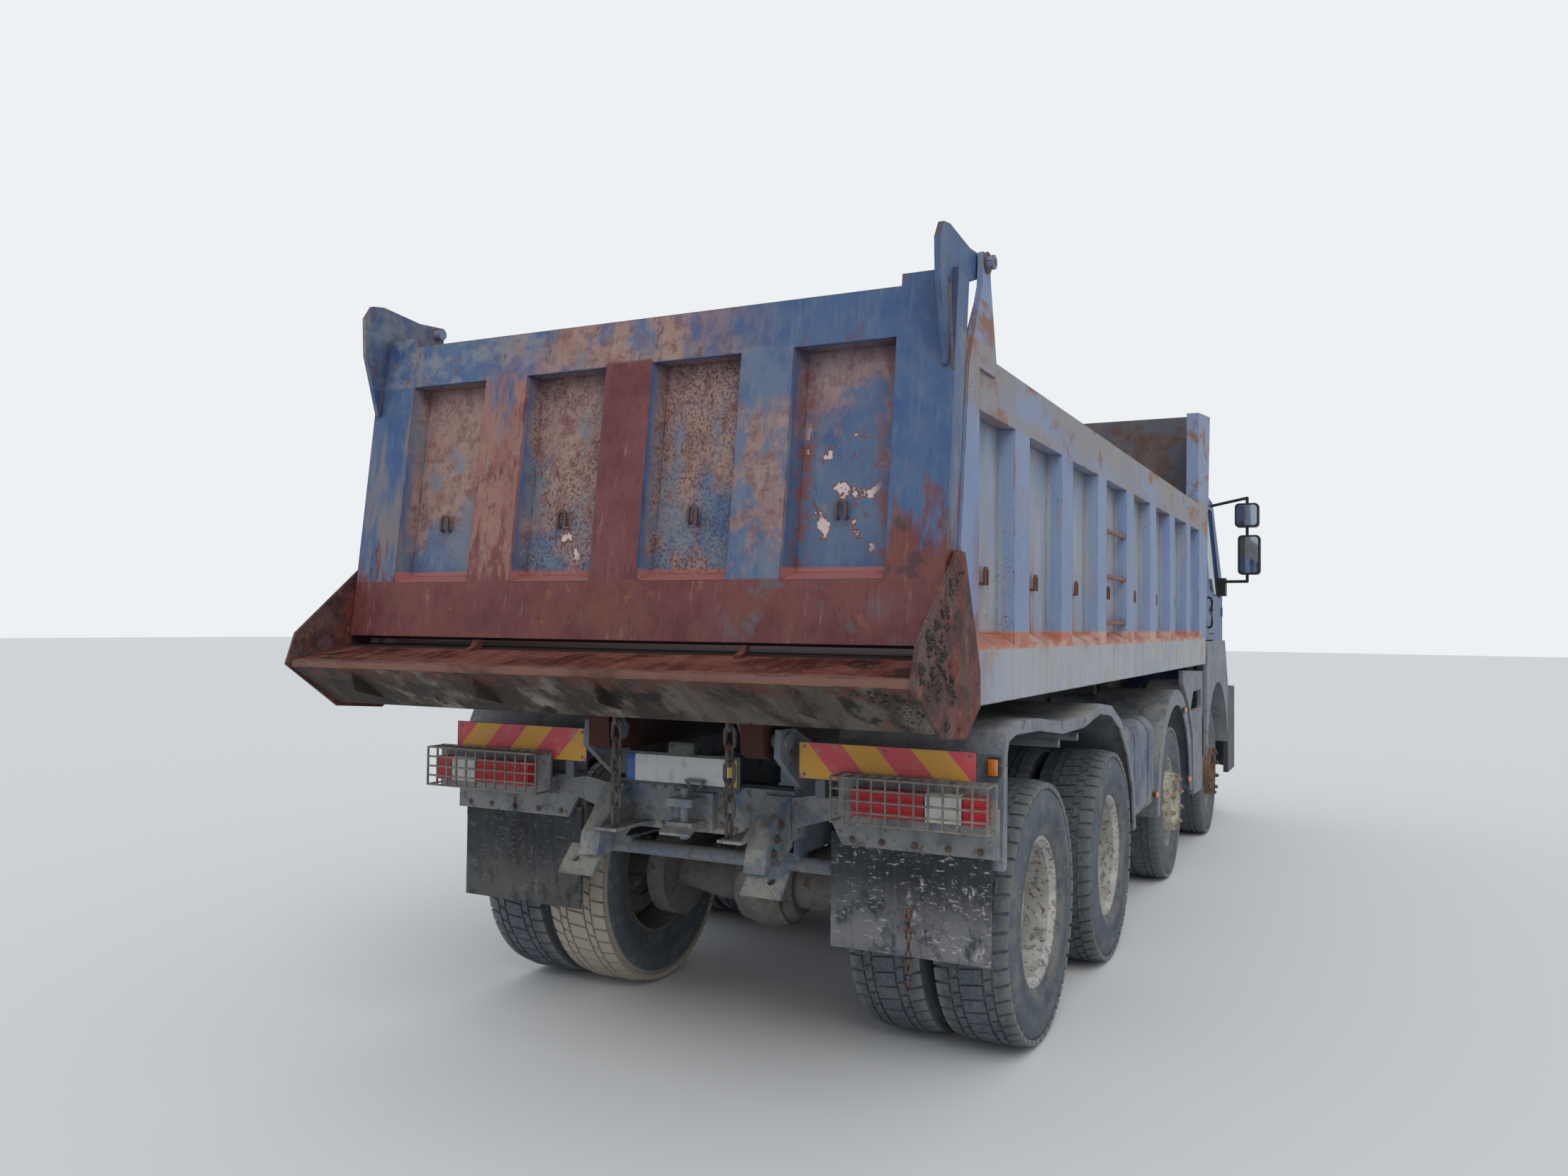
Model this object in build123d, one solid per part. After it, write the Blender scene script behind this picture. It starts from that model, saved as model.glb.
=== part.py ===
# Eight-wheel rear-tipping dump truck with a ribbed steel body and a day cab over the engine.
# Millimetres. X points forward, Y left, Z up. The origin lies on the ground at mid length and mid width.
from build123d import *
from math import atan2, cos, radians, sin, tan
import os

os.makedirs("parts", exist_ok=True)

# Axles, as distances forward of the rearmost one
rear_axle_x = -2700
tandem_spacing = 1370
mid_spacing = 2240
steer_spacing = 1995
axle_x = {
    4: rear_axle_x,
    3: rear_axle_x + tandem_spacing,
    2: rear_axle_x + tandem_spacing + mid_spacing,
    1: rear_axle_x + tandem_spacing + mid_spacing + steer_spacing,
}

# Tyres and rims
rear_tyre_radius = 532
front_tyre_radius = 515
tyre_width = 312
rim_radius = 298
rim_seat_width = 250
rim_wall = 16
disc_thickness = 14
twin_spacing = 350
rear_outer_tyre_y = 1083
front_tyre_y = 1026
hub_radius = 140
front_hub_face_y = 1207
kingpin_y = 880
kingpin_radius = 26
axle_end_y = rear_outer_tyre_y - twin_spacing / 2 - 12
hub_bore_radius = 60
bearing_gap = 0.3
spindle_end_radius = hub_bore_radius - bearing_gap

# Chassis
rail_outer_y = 425
rail_flange = 80
rail_web = 10
rail_top_z = 1070
rail_depth = 280
rail_rear_x = rear_axle_x - 660
rail_front_x = axle_x[1] + 1150
subframe_height = 100
subframe_top_z = rail_top_z + subframe_height

# Tipping body
body_half = 1250
post_half = body_half + 12
wall_inner = body_half - 85
sill_bottom_z = 1424
sill_top_z = 1630
ledge_rise = 38
recess_depth = 62
rail_under_z = 2430
side_top_z = 2626
floor_top_z = 1600
floor_plate = 14
bed_front_x = rear_axle_x + 4820
bed_rear_bottom_x = rear_axle_x - 1200
front_lean = 7.6
headboard_top_z = 3380
headboard_thickness = 90
rib_pitch = 722
rib_width = 205
first_rib_x = rear_axle_x - 420
rib_count = 7
rear_post_inner_x = rear_axle_x - 960
cheek_rear_x = rear_axle_x + 4400
running_gap = 6

# Tip pivot and tailgate hinge
pivot_x = rear_axle_x - 800
pivot_z = 1250
pivot_pin_radius = 30
gate_pin_x = rear_axle_x - 930
gate_pin_z = 2940
gate_pin_radius = 24

# Tailgate
gate_half = post_half - 8
gate_bottom_z = 1630
gate_top_z = 2812
gate_column_top_z = 2853
gate_bottom_x = rear_axle_x - 1346
gate_lean = 6.56
gate_thickness = 110
gate_recess = 70
gate_column_inner = gate_half - 204
gate_rib_width = 205
gate_rib_offset = 0.457 * gate_half
gate_rib_y = [gate_rib_offset, 0, -gate_rib_offset]
gate_recess_bottom_z = 1842
gate_recess_top_z = 2640

# Apron behind the tailgate
lip_x = rear_axle_x - 1628
lip_z = 1510
apron_low_x = rear_axle_x - 1385
apron_low_z = 1362
wing_plate = 12
latch_half = 14
latch_reach = 64

# Bent rope hooks on the side walls and the tailgate, and a ladder on the right side
hook_half = 22
hook_bar = 10
hook_leg = 45
hook_stand = 14
side_hook_z = 1885
gate_hook_z = 2100
rung_z = [1720, 1950, 2180]
rung_radius = 11

# Cab
cab_half = 1150
cab_roof_half = cab_half - 75
cab_corner_radius = 160
cab_rear_x = axle_x[1] - 405
cab_front_x = axle_x[1] + 1325
cab_floor_rear_z = 1600
cab_sill_z = 1180
cab_waist_z = 1990
cab_roof_z = 2960
cab_wall = 45
door_rear_x = axle_x[1] + 255
door_front_x = axle_x[1] + 1095
door_bottom_z = 1240
door_top_z = cab_roof_z - 130
door_gap = 7
door_hinge_z = [1400, 1850]
bumper_front_x = axle_x[1] + 1445

# Underfloor hoist
hoist_x = rear_axle_x + 1850
hoist_trunnion_z = 720
hoist_top_z = 1330
hoist_bottom_z = 612
hoist_radius = 100
hoist_wall = 9
hoist_ram_count = 4
hoist_eye_radius = 40


def limits(x0, x1, y0, y1, z0, z1):
    """Block between two corners."""
    return Pos((x0 + x1) / 2, (y0 + y1) / 2, (z0 + z1) / 2) * Box(abs(x1 - x0), abs(y1 - y0), abs(z1 - z0))


def side_prism(points, y0, y1, radius=0):
    """Outline drawn in side view, as X and Z, carried from y0 to y1."""
    face = Polygon(*points, align=None)
    if radius:
        face = fillet(face.vertices(), radius)
    return extrude(Pos(0, max(y0, y1), 0) * (Plane.XZ * face), abs(y1 - y0), dir=(0, -1, 0))


def plan_prism(points, z0, z1):
    """Outline drawn in plan, as X and Y, carried from z0 to z1."""
    return extrude(Pos(0, 0, z0) * Polygon(*points, align=None), z1 - z0, dir=(0, 0, 1))


def end_prism(points, x0, x1):
    """Outline drawn from behind, as Y and Z, carried from x0 to x1."""
    face = Plane.YZ * Polygon(*points, align=None)
    return extrude(Pos(min(x0, x1), 0, 0) * face, abs(x1 - x0), dir=(1, 0, 0))


def rod(start, end, radius):
    """Round bar between two points."""
    a = Vector(*start)
    b = Vector(*end)
    line = b - a
    plane = Plane(origin=a, z_dir=line)
    return extrude(plane * Circle(radius), line.length)


def cross_rod(x, z, radius, y0, y1):
    """Round bar across the truck."""
    return rod((x, min(y0, y1), z), (x, max(y0, y1), z), radius)


def mirrored(shape):
    """The same piece on the other side."""
    return mirror(shape, Plane.XZ)


def both(shape):
    """A piece and its mirror image, as solids of one node."""
    return Compound(children=[shape, mirrored(shape)])


def loose(*shapes):
    """Solids of one node that don't touch each other."""
    return Compound(children=list(shapes))


def rope_hook():
    """Bent bar with its bow upwards, standing off a wall that faces -X at x = 0."""
    outer = Circle(hook_half) + Pos(0, -hook_leg / 2) * Rectangle(2 * hook_half, hook_leg)
    opening = hook_half - hook_bar
    outer -= Circle(opening) + Pos(0, -hook_leg / 2 - 1) * Rectangle(2 * opening, hook_leg + 2)
    bow = extrude(Pos(-hook_stand - hook_bar, 0, 0) * (Plane.YZ * outer), hook_bar, dir=(1, 0, 0))
    for side in (1, -1):
        bow += limits(-hook_stand - 1, 3, side * opening, side * hook_half, -hook_leg, -hook_leg + hook_bar)
    return bow


def save(name, shape):
    export_step(shape, f"parts/{name}.step")


# Wheels: tyre, rim, disc and hub turn as one about Y
def tyre_section(radius, y):
    half = tyre_width / 2
    side = radius - rim_radius
    points = [
        (y - rim_seat_width / 2 + 12, rim_radius),
        (y - half, rim_radius + 0.42 * side),
        (y - half + 8, radius - 38),
        (y - half + 42, radius - 4),
        (y, radius),
        (y + half - 42, radius - 4),
        (y + half - 8, radius - 38),
        (y + half, rim_radius + 0.42 * side),
        (y + rim_seat_width / 2 - 12, rim_radius),
    ]
    return Polygon(*points, align=None)


def turned(face):
    return revolve(Plane.YZ * face, Axis.Y)


def block_section(y0, y1, r0, r1):
    return Pos((y0 + y1) / 2, (r0 + r1) / 2) * Rectangle(abs(y1 - y0), r1 - r0)


def rim_section(y):
    half = rim_seat_width / 2
    seat = block_section(y - half, y + half, rim_radius - rim_wall, rim_radius + 4)
    edge = block_section(y - half, y - half + 12, rim_radius - rim_wall, rim_radius + 14)
    return seat + edge + Pos(2 * y, 0) * mirror(edge, Plane.YZ)


def front_wheel(x, side):
    """Single steered wheel with its disc near the outer face and a protruding hub ring."""
    y = front_tyre_y
    disc_y = y + 78
    face = tyre_section(front_tyre_radius, y) + rim_section(y)
    face += block_section(disc_y, disc_y + disc_thickness, hub_radius - 30, rim_radius - rim_wall + 2)
    face += block_section(y - 60, disc_y + disc_thickness, hub_radius - 30, hub_radius + 10)
    wheel = turned(face)
    ring = turned(block_section(disc_y + disc_thickness, front_hub_face_y, 155, 190))
    cap = turned(block_section(disc_y - 4, front_hub_face_y - 28, 0.5, hub_radius - 28))
    wheel = wheel + ring + cap + turned(block_section(y - 60, disc_y, hub_bore_radius, hub_radius - 28))
    wheel = Pos(x, 0, front_tyre_radius) * wheel
    return wheel if side > 0 else mirrored(wheel)


def twin_wheel(x, side):
    """Two tyres back to back on one deep-dished hub."""
    outer = rear_outer_tyre_y
    inner = outer - twin_spacing
    middle = (outer + inner) / 2
    face = tyre_section(rear_tyre_radius, outer) + rim_section(outer)
    face += tyre_section(rear_tyre_radius, inner) + rim_section(inner)
    face += block_section(inner + rim_seat_width / 2 - 1, outer - rim_seat_width / 2 + 1, 268, rim_radius - 6)
    face += block_section(middle - disc_thickness, middle + disc_thickness, hub_radius - 2, 270)
    face += block_section(inner + 20, outer - 20, hub_bore_radius, hub_radius)
    wheel = turned(face) + turned(block_section(middle, outer - 20, 0.5, hub_bore_radius + 1))
    wheel = Pos(x, 0, rear_tyre_radius) * wheel
    return wheel if side > 0 else mirrored(wheel)


for number in (1, 2):
    for label, side in (("left", 1), ("right", -1)):
        save(f"wheel_{number}_{label}", front_wheel(axle_x[number], side))
for number in (3, 4):
    for label, side in (("left", 1), ("right", -1)):
        save(f"wheel_{number}_{label}", twin_wheel(axle_x[number], side))


# Steered axles: a dropped beam between two kingpin bosses, and a knuckle on each kingpin
boss_radius = 48
boss_half = 70
knuckle_arm = 200
beam_drop = 95
spring_y = 405
spring_width = 80


def steer_beam(x):
    z = front_tyre_radius
    flat = kingpin_y - 92
    inner = kingpin_y - 210
    outline = [
        (-kingpin_y, z + 38), (-flat, z + 38), (-inner, z - beam_drop + 55), (inner, z - beam_drop + 55),
        (flat, z + 38), (kingpin_y, z + 38), (kingpin_y, z - 38), (flat, z - 38), (inner, z - beam_drop - 45),
        (-inner, z - beam_drop - 45), (-flat, z - 38), (-kingpin_y, z - 38),
    ]
    beam = end_prism(outline, x - 45, x + 45)
    for side in (1, -1):
        beam += Pos(x, side * kingpin_y, z) * Cylinder(boss_radius + 4, 80)
        beam -= Pos(x, side * kingpin_y, z) * Cylinder(kingpin_radius + 0.3, 200)
        beam += limits(x - 60, x + 60, side * (spring_y - 45), side * (spring_y + 45), z - 50, z - 25)
    return beam


save("steer_axle_beams", loose(steer_beam(axle_x[1]), steer_beam(axle_x[2])))


def knuckle(x, side):
    """Fork over the beam's end, with the kingpin, the wheel spindle and a steering arm."""
    z = front_tyre_radius
    body = Pos(x, kingpin_y, z) * Cylinder(kingpin_radius, 2 * boss_half)
    for low, high in ((z + 42, z + boss_half), (z - boss_half, z - 42)):
        body += limits(x - 50, x + 50, kingpin_y - 48, kingpin_y + 75, low, high)
    body += limits(x - 50, x + 50, kingpin_y + 56, kingpin_y + 75, z - boss_half, z + boss_half)
    body += cross_rod(x, z, spindle_end_radius, kingpin_y + 60, front_tyre_y + 60)
    body += limits(x - knuckle_arm, x - 45, kingpin_y - 40, kingpin_y + 10, z - boss_half, z - boss_half + 20)
    return body if side > 0 else mirrored(body)


for number in (1, 2):
    for label, side in (("left", 1), ("right", -1)):
        save(f"knuckle_{number}_{label}", knuckle(axle_x[number], side))


# Driven axles: a banjo housing with tapered ends and the differential bulge
nose_reach = 250
shaft_radius = 42


def drive_axle(x):
    z = rear_tyre_radius
    outline = [
        (-axle_end_y, 0.5), (-axle_end_y, spindle_end_radius), (-620, spindle_end_radius), (-430, 78),
        (-250, 110), (250, 110), (430, 78), (620, spindle_end_radius), (axle_end_y, spindle_end_radius),
        (axle_end_y, 0.5),
    ]
    axle = turned(Polygon(*outline, align=None)) + turned(block_section(-110, 110, 0.5, 185))
    axle += Sphere(205) & Box(440, 300, 420)
    axle += rod((-nose_reach, 0, 20), (nose_reach, 0, 20), 70)
    drum = turned(block_section(470, 560, 40, 205))
    axle += drum + mirrored(drum)
    return Pos(x, 0, z) * axle


save("drive_axles", loose(drive_axle(axle_x[3]), drive_axle(axle_x[4])))


# Springs: leaf packs under the rails, with shackle hangers at both ends
def leaf_pack(x, half_length, seat_z, end_z, leaves, leaf=14):
    """Stack of leaves, the longest on top, clamped at its middle."""
    steps = []
    for index in range(leaves):
        share = 1 - 0.8 * index / leaves
        reach = half_length * share
        rise = (end_z - seat_z) * share * share
        base = seat_z - leaf * index
        outline = [
            (x - reach, base + rise), (x - 80, base), (x + 80, base), (x + reach, base + rise),
            (x + reach, base + rise + leaf), (x + 80, base + leaf), (x - 80, base + leaf),
            (x - reach, base + rise + leaf),
        ]
        steps.append(side_prism(outline, spring_y - spring_width / 2, spring_y + spring_width / 2))
    pack = steps[0]
    for step in steps[1:]:
        pack += step
    return pack


rail_bottom_z = rail_top_z - rail_depth
front_spring_half = 780
front_leaves = 3
front_seat_z = front_tyre_radius - 25 + 14 * front_leaves - 14
hanger_y0 = spring_y - 38
hanger_y1 = spring_y + 38


def front_spring(x):
    pack = leaf_pack(x, front_spring_half, front_seat_z, rail_bottom_z - 110, front_leaves)
    for end in (-1, 1):
        foot = x + end * (front_spring_half - 40)
        pack += limits(foot - 35, foot + 35, hanger_y0, hanger_y1, rail_bottom_z - 125, rail_bottom_z)
    return pack


front_packs = []
for number in (1, 2):
    left_pack = front_spring(axle_x[number])
    front_packs += [left_pack, mirrored(left_pack)]
save("front_springs", loose(*front_packs))

# Tandem spring: one inverted pack a side, pivoted between the two driven axles
bogie_x = (axle_x[3] + axle_x[4]) / 2
bogie_seat_z = rear_tyre_radius + 96
bogie_pack = leaf_pack(bogie_x, tandem_spacing / 2 + 60, bogie_seat_z + 42, bogie_seat_z, 3)
bogie_pack += limits(bogie_x - 110, bogie_x + 110, hanger_y0, hanger_y1, bogie_seat_z + 40, rail_bottom_z)
for x in (axle_x[3], axle_x[4]):
    bogie_pack += limits(x - 60, x + 60, hanger_y0, hanger_y1, rear_tyre_radius + 90, bogie_seat_z + 6)
save("bogie_springs", both(bogie_pack))


# Frame: two C rails and their cross members, with the hoist cradle ears
def c_rail():
    z0 = rail_bottom_z
    z1 = rail_top_z
    inner = rail_outer_y - rail_flange
    outline = [
        (rail_outer_y, z0), (inner, z0), (inner, z0 + rail_web), (rail_outer_y - rail_web, z0 + rail_web),
        (rail_outer_y - rail_web, z1 - rail_web), (inner, z1 - rail_web), (inner, z1), (rail_outer_y, z1),
    ]
    return end_prism(outline, rail_rear_x, rail_front_x)


cross_members = [
    ("rear", rail_rear_x + 200),
    ("bogie", bogie_x),
    ("behind hoist", hoist_x - 400),
    ("ahead of hoist", hoist_x + 380),
    ("mid axle", axle_x[2] + 340),
    ("behind gearbox", axle_x[1] - 1300),
    ("front", rail_front_x - 70),
]
member_bottom_z = rail_bottom_z + 170
member_top_z = rail_top_z - 40
member_half = 45
member_reach = rail_outer_y - rail_web
frame = c_rail() + mirrored(c_rail())
for _, x in cross_members:
    frame += limits(x - member_half, x + member_half, -member_reach, member_reach, member_bottom_z,
                    member_top_z)
trunnion_y = 120
trunnion_radius = 28
cradle_plate = 20
for side in (1, -1):
    ear_y = side * trunnion_y
    ear = side_prism(
        [(hoist_x - 400, member_top_z), (hoist_x + 380, member_top_z), (hoist_x + 380, member_bottom_z),
         (hoist_x + 60, hoist_trunnion_z - 60), (hoist_x - 60, hoist_trunnion_z - 60),
         (hoist_x - 400, member_bottom_z)],
        ear_y, ear_y + side * cradle_plate)
    ear -= cross_rod(hoist_x, hoist_trunnion_z, trunnion_radius + bearing_gap, ear_y - side * 5,
                     ear_y + side * (cradle_plate + 5))
    frame += ear
cab_post_x = cab_rear_x + 60
cab_bracket_x = axle_x[1] + 800
for side in (1, -1):
    frame += limits(cab_post_x, cab_post_x + 80, side * (rail_outer_y - rail_flange), side * rail_outer_y,
                    rail_top_z - 1, cab_floor_rear_z)
    frame += limits(cab_bracket_x, cab_bracket_x + 90, side * (rail_outer_y - 1), side * (rail_outer_y + 55),
                    rail_top_z - 120, cab_sill_z)
save("frame_rails", frame)

# Subframe on the rails, with cheek plates and pins for the tip pivot
subframe_front_x = bed_front_x - 150
pivot_cheek = 26
subframe = limits(rail_rear_x, subframe_front_x, rail_outer_y - 70, rail_outer_y, rail_top_z, subframe_top_z)
cheek = side_prism(
    [(rail_rear_x + 240, rail_top_z), (rail_rear_x + 240, subframe_top_z), (pivot_x + 60, pivot_z + 45),
     (pivot_x - 50, pivot_z + 45), (pivot_x - 60, pivot_z - 60), (rail_rear_x, rail_top_z - 20)],
    rail_outer_y, rail_outer_y + pivot_cheek)
subframe += cheek
pin_inner_y = 290
subframe += cross_rod(pivot_x, pivot_z, pivot_pin_radius, pin_inner_y, rail_outer_y + pivot_cheek + 14)

# Arm on each pin's inner end, with the bar that a safety chain hangs on
chain_x = pivot_x - 100
chain_top_z = pivot_z + 102
chain_y = 258
chain_bar = 9
subframe += side_prism(
    [(pivot_x - 20, pivot_z - 20), (pivot_x + 20, pivot_z + 20), (chain_x + 14, chain_top_z + 8),
     (chain_x - 10, chain_top_z + 8), (chain_x - 10, chain_top_z - 12)],
    pin_inner_y - 12, pin_inner_y + 1)
subframe += cross_rod(chain_x, chain_top_z, chain_bar, chain_y - 16, pin_inner_y - 10)
save("tipper_subframe", both(subframe))

# Safety chains from the pivot arms down to the shelves on the rear beam
link_length = 95
link_width = 55
link_wire = 15
link_pitch = link_length - 2 * link_wire + 2
link_count = 7
link_face = SlotOverall(link_length, link_width) - SlotOverall(
    link_length - 2 * link_wire, link_width - 2 * link_wire)
flat_link = extrude(link_face, link_wire / 2, both=True)
flat_link = chamfer(flat_link.edges().filter_by(Plane.XY), link_wire / 3.5)
upright_link = Rot(90, 0, 0) * (Rot(0, 0, 90) * flat_link)
first_link_z = chain_top_z + chain_bar + 0.3 - link_length / 2 + link_wire
chain = Pos(chain_x, chain_y, first_link_z) * upright_link
for index in range(1, link_count):
    turn = 90 * (index % 2)
    chain += Pos(chain_x, chain_y, first_link_z - index * link_pitch) * (Rot(0, 0, turn) * upright_link)
chain_foot_z = first_link_z - (link_count - 1) * link_pitch - link_length / 2
save("safety_chains", both(chain))

# Rear cross beam, its swept bracket feet and the tow jaw
beam_x = rail_rear_x - 12
beam = limits(beam_x - 12, beam_x + 12, -rail_outer_y, rail_outer_y, 850, 1043)
foot_x = rear_axle_x - 880
arm_sheet = 14
arm_y0 = 332
arm_y1 = 422
shelf_z = chain_foot_z - 0.3
arm_outline = [
    (beam_x - 12, 1028), (beam_x - 60, 1028), (foot_x + 30, 900), (foot_x - 20, 850), (foot_x - 40, 762),
    (foot_x + 60, 762), (beam_x - 12, 830),
]
arm_web = [
    (beam_x - 60, 1028), (beam_x - 48, 1028), (foot_x + 42, 900), (foot_x - 8, 850), (foot_x - 28, 762),
    (foot_x - 40, 762), (foot_x - 20, 850), (foot_x + 30, 900),
]
foot_plate = [(foot_x - 70, 690), (foot_x - 58, 682), (foot_x + 32, 782), (foot_x + 20, 790)]
arm = side_prism(arm_outline, arm_y0, arm_y0 + arm_sheet)
arm += side_prism(arm_outline, arm_y1 - arm_sheet, arm_y1)
arm += side_prism(arm_web, arm_y0 + 2, arm_y1 - 2)
foot = side_prism(foot_plate, arm_y0 + 3, arm_y1 + 78)
foot -= rod((foot_x + 8, arm_y1 + 22, 710), (foot_x - 46, arm_y1 + 22, 758), 17)
shelf = limits(foot_x - 60, beam_x - 11, chain_y - 28, arm_y0 + 1, shelf_z - 12, shelf_z)
shelf += side_prism(
    [(foot_x - 40, shelf_z - 1), (beam_x - 11, shelf_z - 1), (beam_x - 11, 1000), (beam_x - 30, 1000)],
    arm_y0 - 10, arm_y0 + 1)
beam += arm + foot + shelf + mirrored(arm + foot + shelf)
save("rear_beam", beam)

jaw_z = 940
jaw = limits(beam_x - 60, beam_x - 12, -90, 90, jaw_z - 70, jaw_z + 75)
jaw += limits(beam_x - 170, beam_x - 60, -60, 60, jaw_z + 30, jaw_z + 62)
jaw += limits(beam_x - 170, beam_x - 60, -60, 60, jaw_z - 62, jaw_z - 30)
jaw += Pos(beam_x - 125, 0, jaw_z) * Cylinder(18, 200)
jaw += limits(beam_x - 22, beam_x - 12, -130, 130, 868, 1030)
jaw += side_prism(
    [(beam_x - 168, jaw_z - 45), (beam_x - 168, jaw_z - 62), (beam_x - 200, jaw_z - 78),
     (beam_x - 205, jaw_z - 66)],
    -70, 70)
handle_x = beam_x - 50
handle_half = 42
handle_radius = 6
handle_top = [(handle_x, -handle_half, jaw_z + 120), (handle_x, handle_half, jaw_z + 120)]
jaw += rod(handle_top[0], handle_top[1], handle_radius)
for corner in handle_top:
    jaw += rod(corner, (handle_x, 0, jaw_z + 60), handle_radius) + Pos(*corner) * Sphere(handle_radius)
save("tow_jaw", jaw)

# Holder of the number plate, standing before the beam, with its lamp housing on top
plate_y0 = -196
plate_y1 = 348
beam_top_edge_z = 1043
holder = limits(beam_x - 32.3, beam_x - 22.3, plate_y0, plate_y1, 1030.3, 1162)
holder += limits(beam_x - 23, beam_x + 12, plate_y0 + 140, plate_y1 - 140, beam_top_edge_z + 0.3,
                 beam_top_edge_z + 10)
plate_lamp = limits(beam_x - 40, beam_x + 20, 14, 134, 1161, 1210)
plate_lamp = fillet(plate_lamp.edges().filter_by(Axis.Y).group_by(Axis.Z)[-1], 16)
save("plate_holder", holder + plate_lamp)

bar_x = rear_axle_x - 605
bar_z = 748
bar = cross_rod(bar_x, bar_z, 30, -1080, 1080)
for side in (1, -1):
    bar += limits(bar_x - 25, bar_x + 45, side * (rail_outer_y - 60), side * rail_outer_y, bar_z,
                  rail_bottom_z)
save("underrun_bar", bar)

# Engine and gearbox, one plain block
engine_x0 = axle_x[1] - 480
engine_x1 = axle_x[1] + 980
engine = limits(engine_x0, engine_x1, -330, 330, 720, 1400)
engine += limits(engine_x0 - 700, engine_x0, -200, 200, 760, 1060)
save("engine_block", engine)

# Propeller shafts from the gearbox to the front driven axle and on to the rear one
shaft_z = rear_tyre_radius + 20
gearbox_end_x = engine_x0 - 700
shaft_bearing_x = hoist_x + 380
shaft_bearing_z = 500
flange_gap = 0.3
front_shaft = rod((gearbox_end_x + 40, 0, 855), (shaft_bearing_x, 0, shaft_bearing_z), shaft_radius)
front_shaft += rod((shaft_bearing_x + 5, 0, shaft_bearing_z), (axle_x[3] + nose_reach - 20, 0, shaft_z - 5),
                   shaft_radius)
front_shaft -= limits(gearbox_end_x - flange_gap, gearbox_end_x + 100, -100, 100, 700, 1000)
front_shaft -= limits(axle_x[3] + 100, axle_x[3] + nose_reach + flange_gap, -100, 100, 400, 700)
front_shaft += limits(shaft_bearing_x - 20, shaft_bearing_x + 20, -60, 60, shaft_bearing_z - 60,
                      member_bottom_z)
rear_shaft = rod((axle_x[3] - nose_reach - flange_gap, 0, shaft_z),
                 (axle_x[4] + nose_reach + flange_gap, 0, shaft_z), shaft_radius)
save("propeller_shafts", loose(front_shaft, rear_shaft))

# Fuel tank on the right, batteries and air tanks on the left, each on rail brackets
tank_x0 = axle_x[3] + rear_tyre_radius + 58
tank_x1 = axle_x[2] - 800
tank_y0 = 560
tank_y1 = 1200
tank_profile = [(tank_y0, 560), (tank_y0, 1150), (tank_y1, 1150), (tank_y1, 560)]
tank_face = fillet(Polygon(*tank_profile, align=None).vertices(), 110)
tank = extrude(Pos(tank_x0, 0, 0) * (Plane.YZ * tank_face), tank_x1 - tank_x0, dir=(1, 0, 0))
for x in (tank_x0 + 110, tank_x1 - 170):
    tank += limits(x, x + 60, rail_outer_y, tank_y0 + 120, 860, 960)
for x in (tank_x0 + 190, tank_x1 - 240):
    strap = offset(tank_face, 5)
    tank += extrude(Pos(x, 0, 0) * (Plane.YZ * strap), 45, dir=(1, 0, 0))
save("fuel_tank", mirrored(tank))

box = limits(tank_x0 + 40, tank_x0 + 560, tank_y0, tank_y1 - 20, 640, 1080)
for z in (690, 960):
    box += rod((tank_x0 + 555, 820, z), (tank_x1, 820, z), 120)
box += limits(tank_x0 + 110, tank_x0 + 180, rail_outer_y, tank_y0 + 20, 860, 960)
box += limits(tank_x1 - 180, tank_x1 - 110, rail_outer_y, 760, 900, 980)
save("battery_and_air_tanks", box)


# Mudguards: folded bands over the tyres, each with an upright lip along its outer edge
def band(points, thickness, y0, y1):
    """Sheet that follows a side-view line, listed from rear to front over the top."""
    reach = thickness
    under = []
    for index, (x, z) in enumerate(points):
        before = points[max(index - 1, 0)]
        after = points[min(index + 1, len(points) - 1)]
        slope = atan2(after[1] - before[1], after[0] - before[0])
        under.append((x + reach * sin(slope), z - reach * cos(slope)))
    return side_prism(points + under[::-1], y0, y1)


guard_sheet = 10
guard_lip = 50
guard_y0 = 590
guard_y1 = 1248
guard_rear_x = rear_axle_x - 645
guard_line = [
    (guard_rear_x, 812), (guard_rear_x, 1230), (guard_rear_x + 45, 1315), (guard_rear_x + 165, 1340),
    (rear_axle_x - 150, 1330), (rear_axle_x + 250, 1288), (rear_axle_x + 650, 1285),
    (rear_axle_x + 1000, 1325), (rear_axle_x + 1270, 1300), (rear_axle_x + 1520, 1210),
    (rear_axle_x + 1740, 1040), (rear_axle_x + 1900, 820), (rear_axle_x + 1940, 590),
]
guard = band(guard_line, guard_sheet, guard_y0, guard_y1)
guard += band(guard_line, guard_lip, guard_y1 - guard_sheet, guard_y1)
for x, top in ((rear_axle_x + 420, 1280), (rear_axle_x + 780, 1294)):
    guard += cross_rod(x, 1180, 20, rail_outer_y, guard_y1 - 60)
    guard += limits(x - 15, x + 15, 900, 930, 1170, top)
    guard += limits(x - 30, x + 30, rail_outer_y, rail_outer_y + 30, 980, 1200)
save("tandem_mudguards", both(guard))

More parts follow.
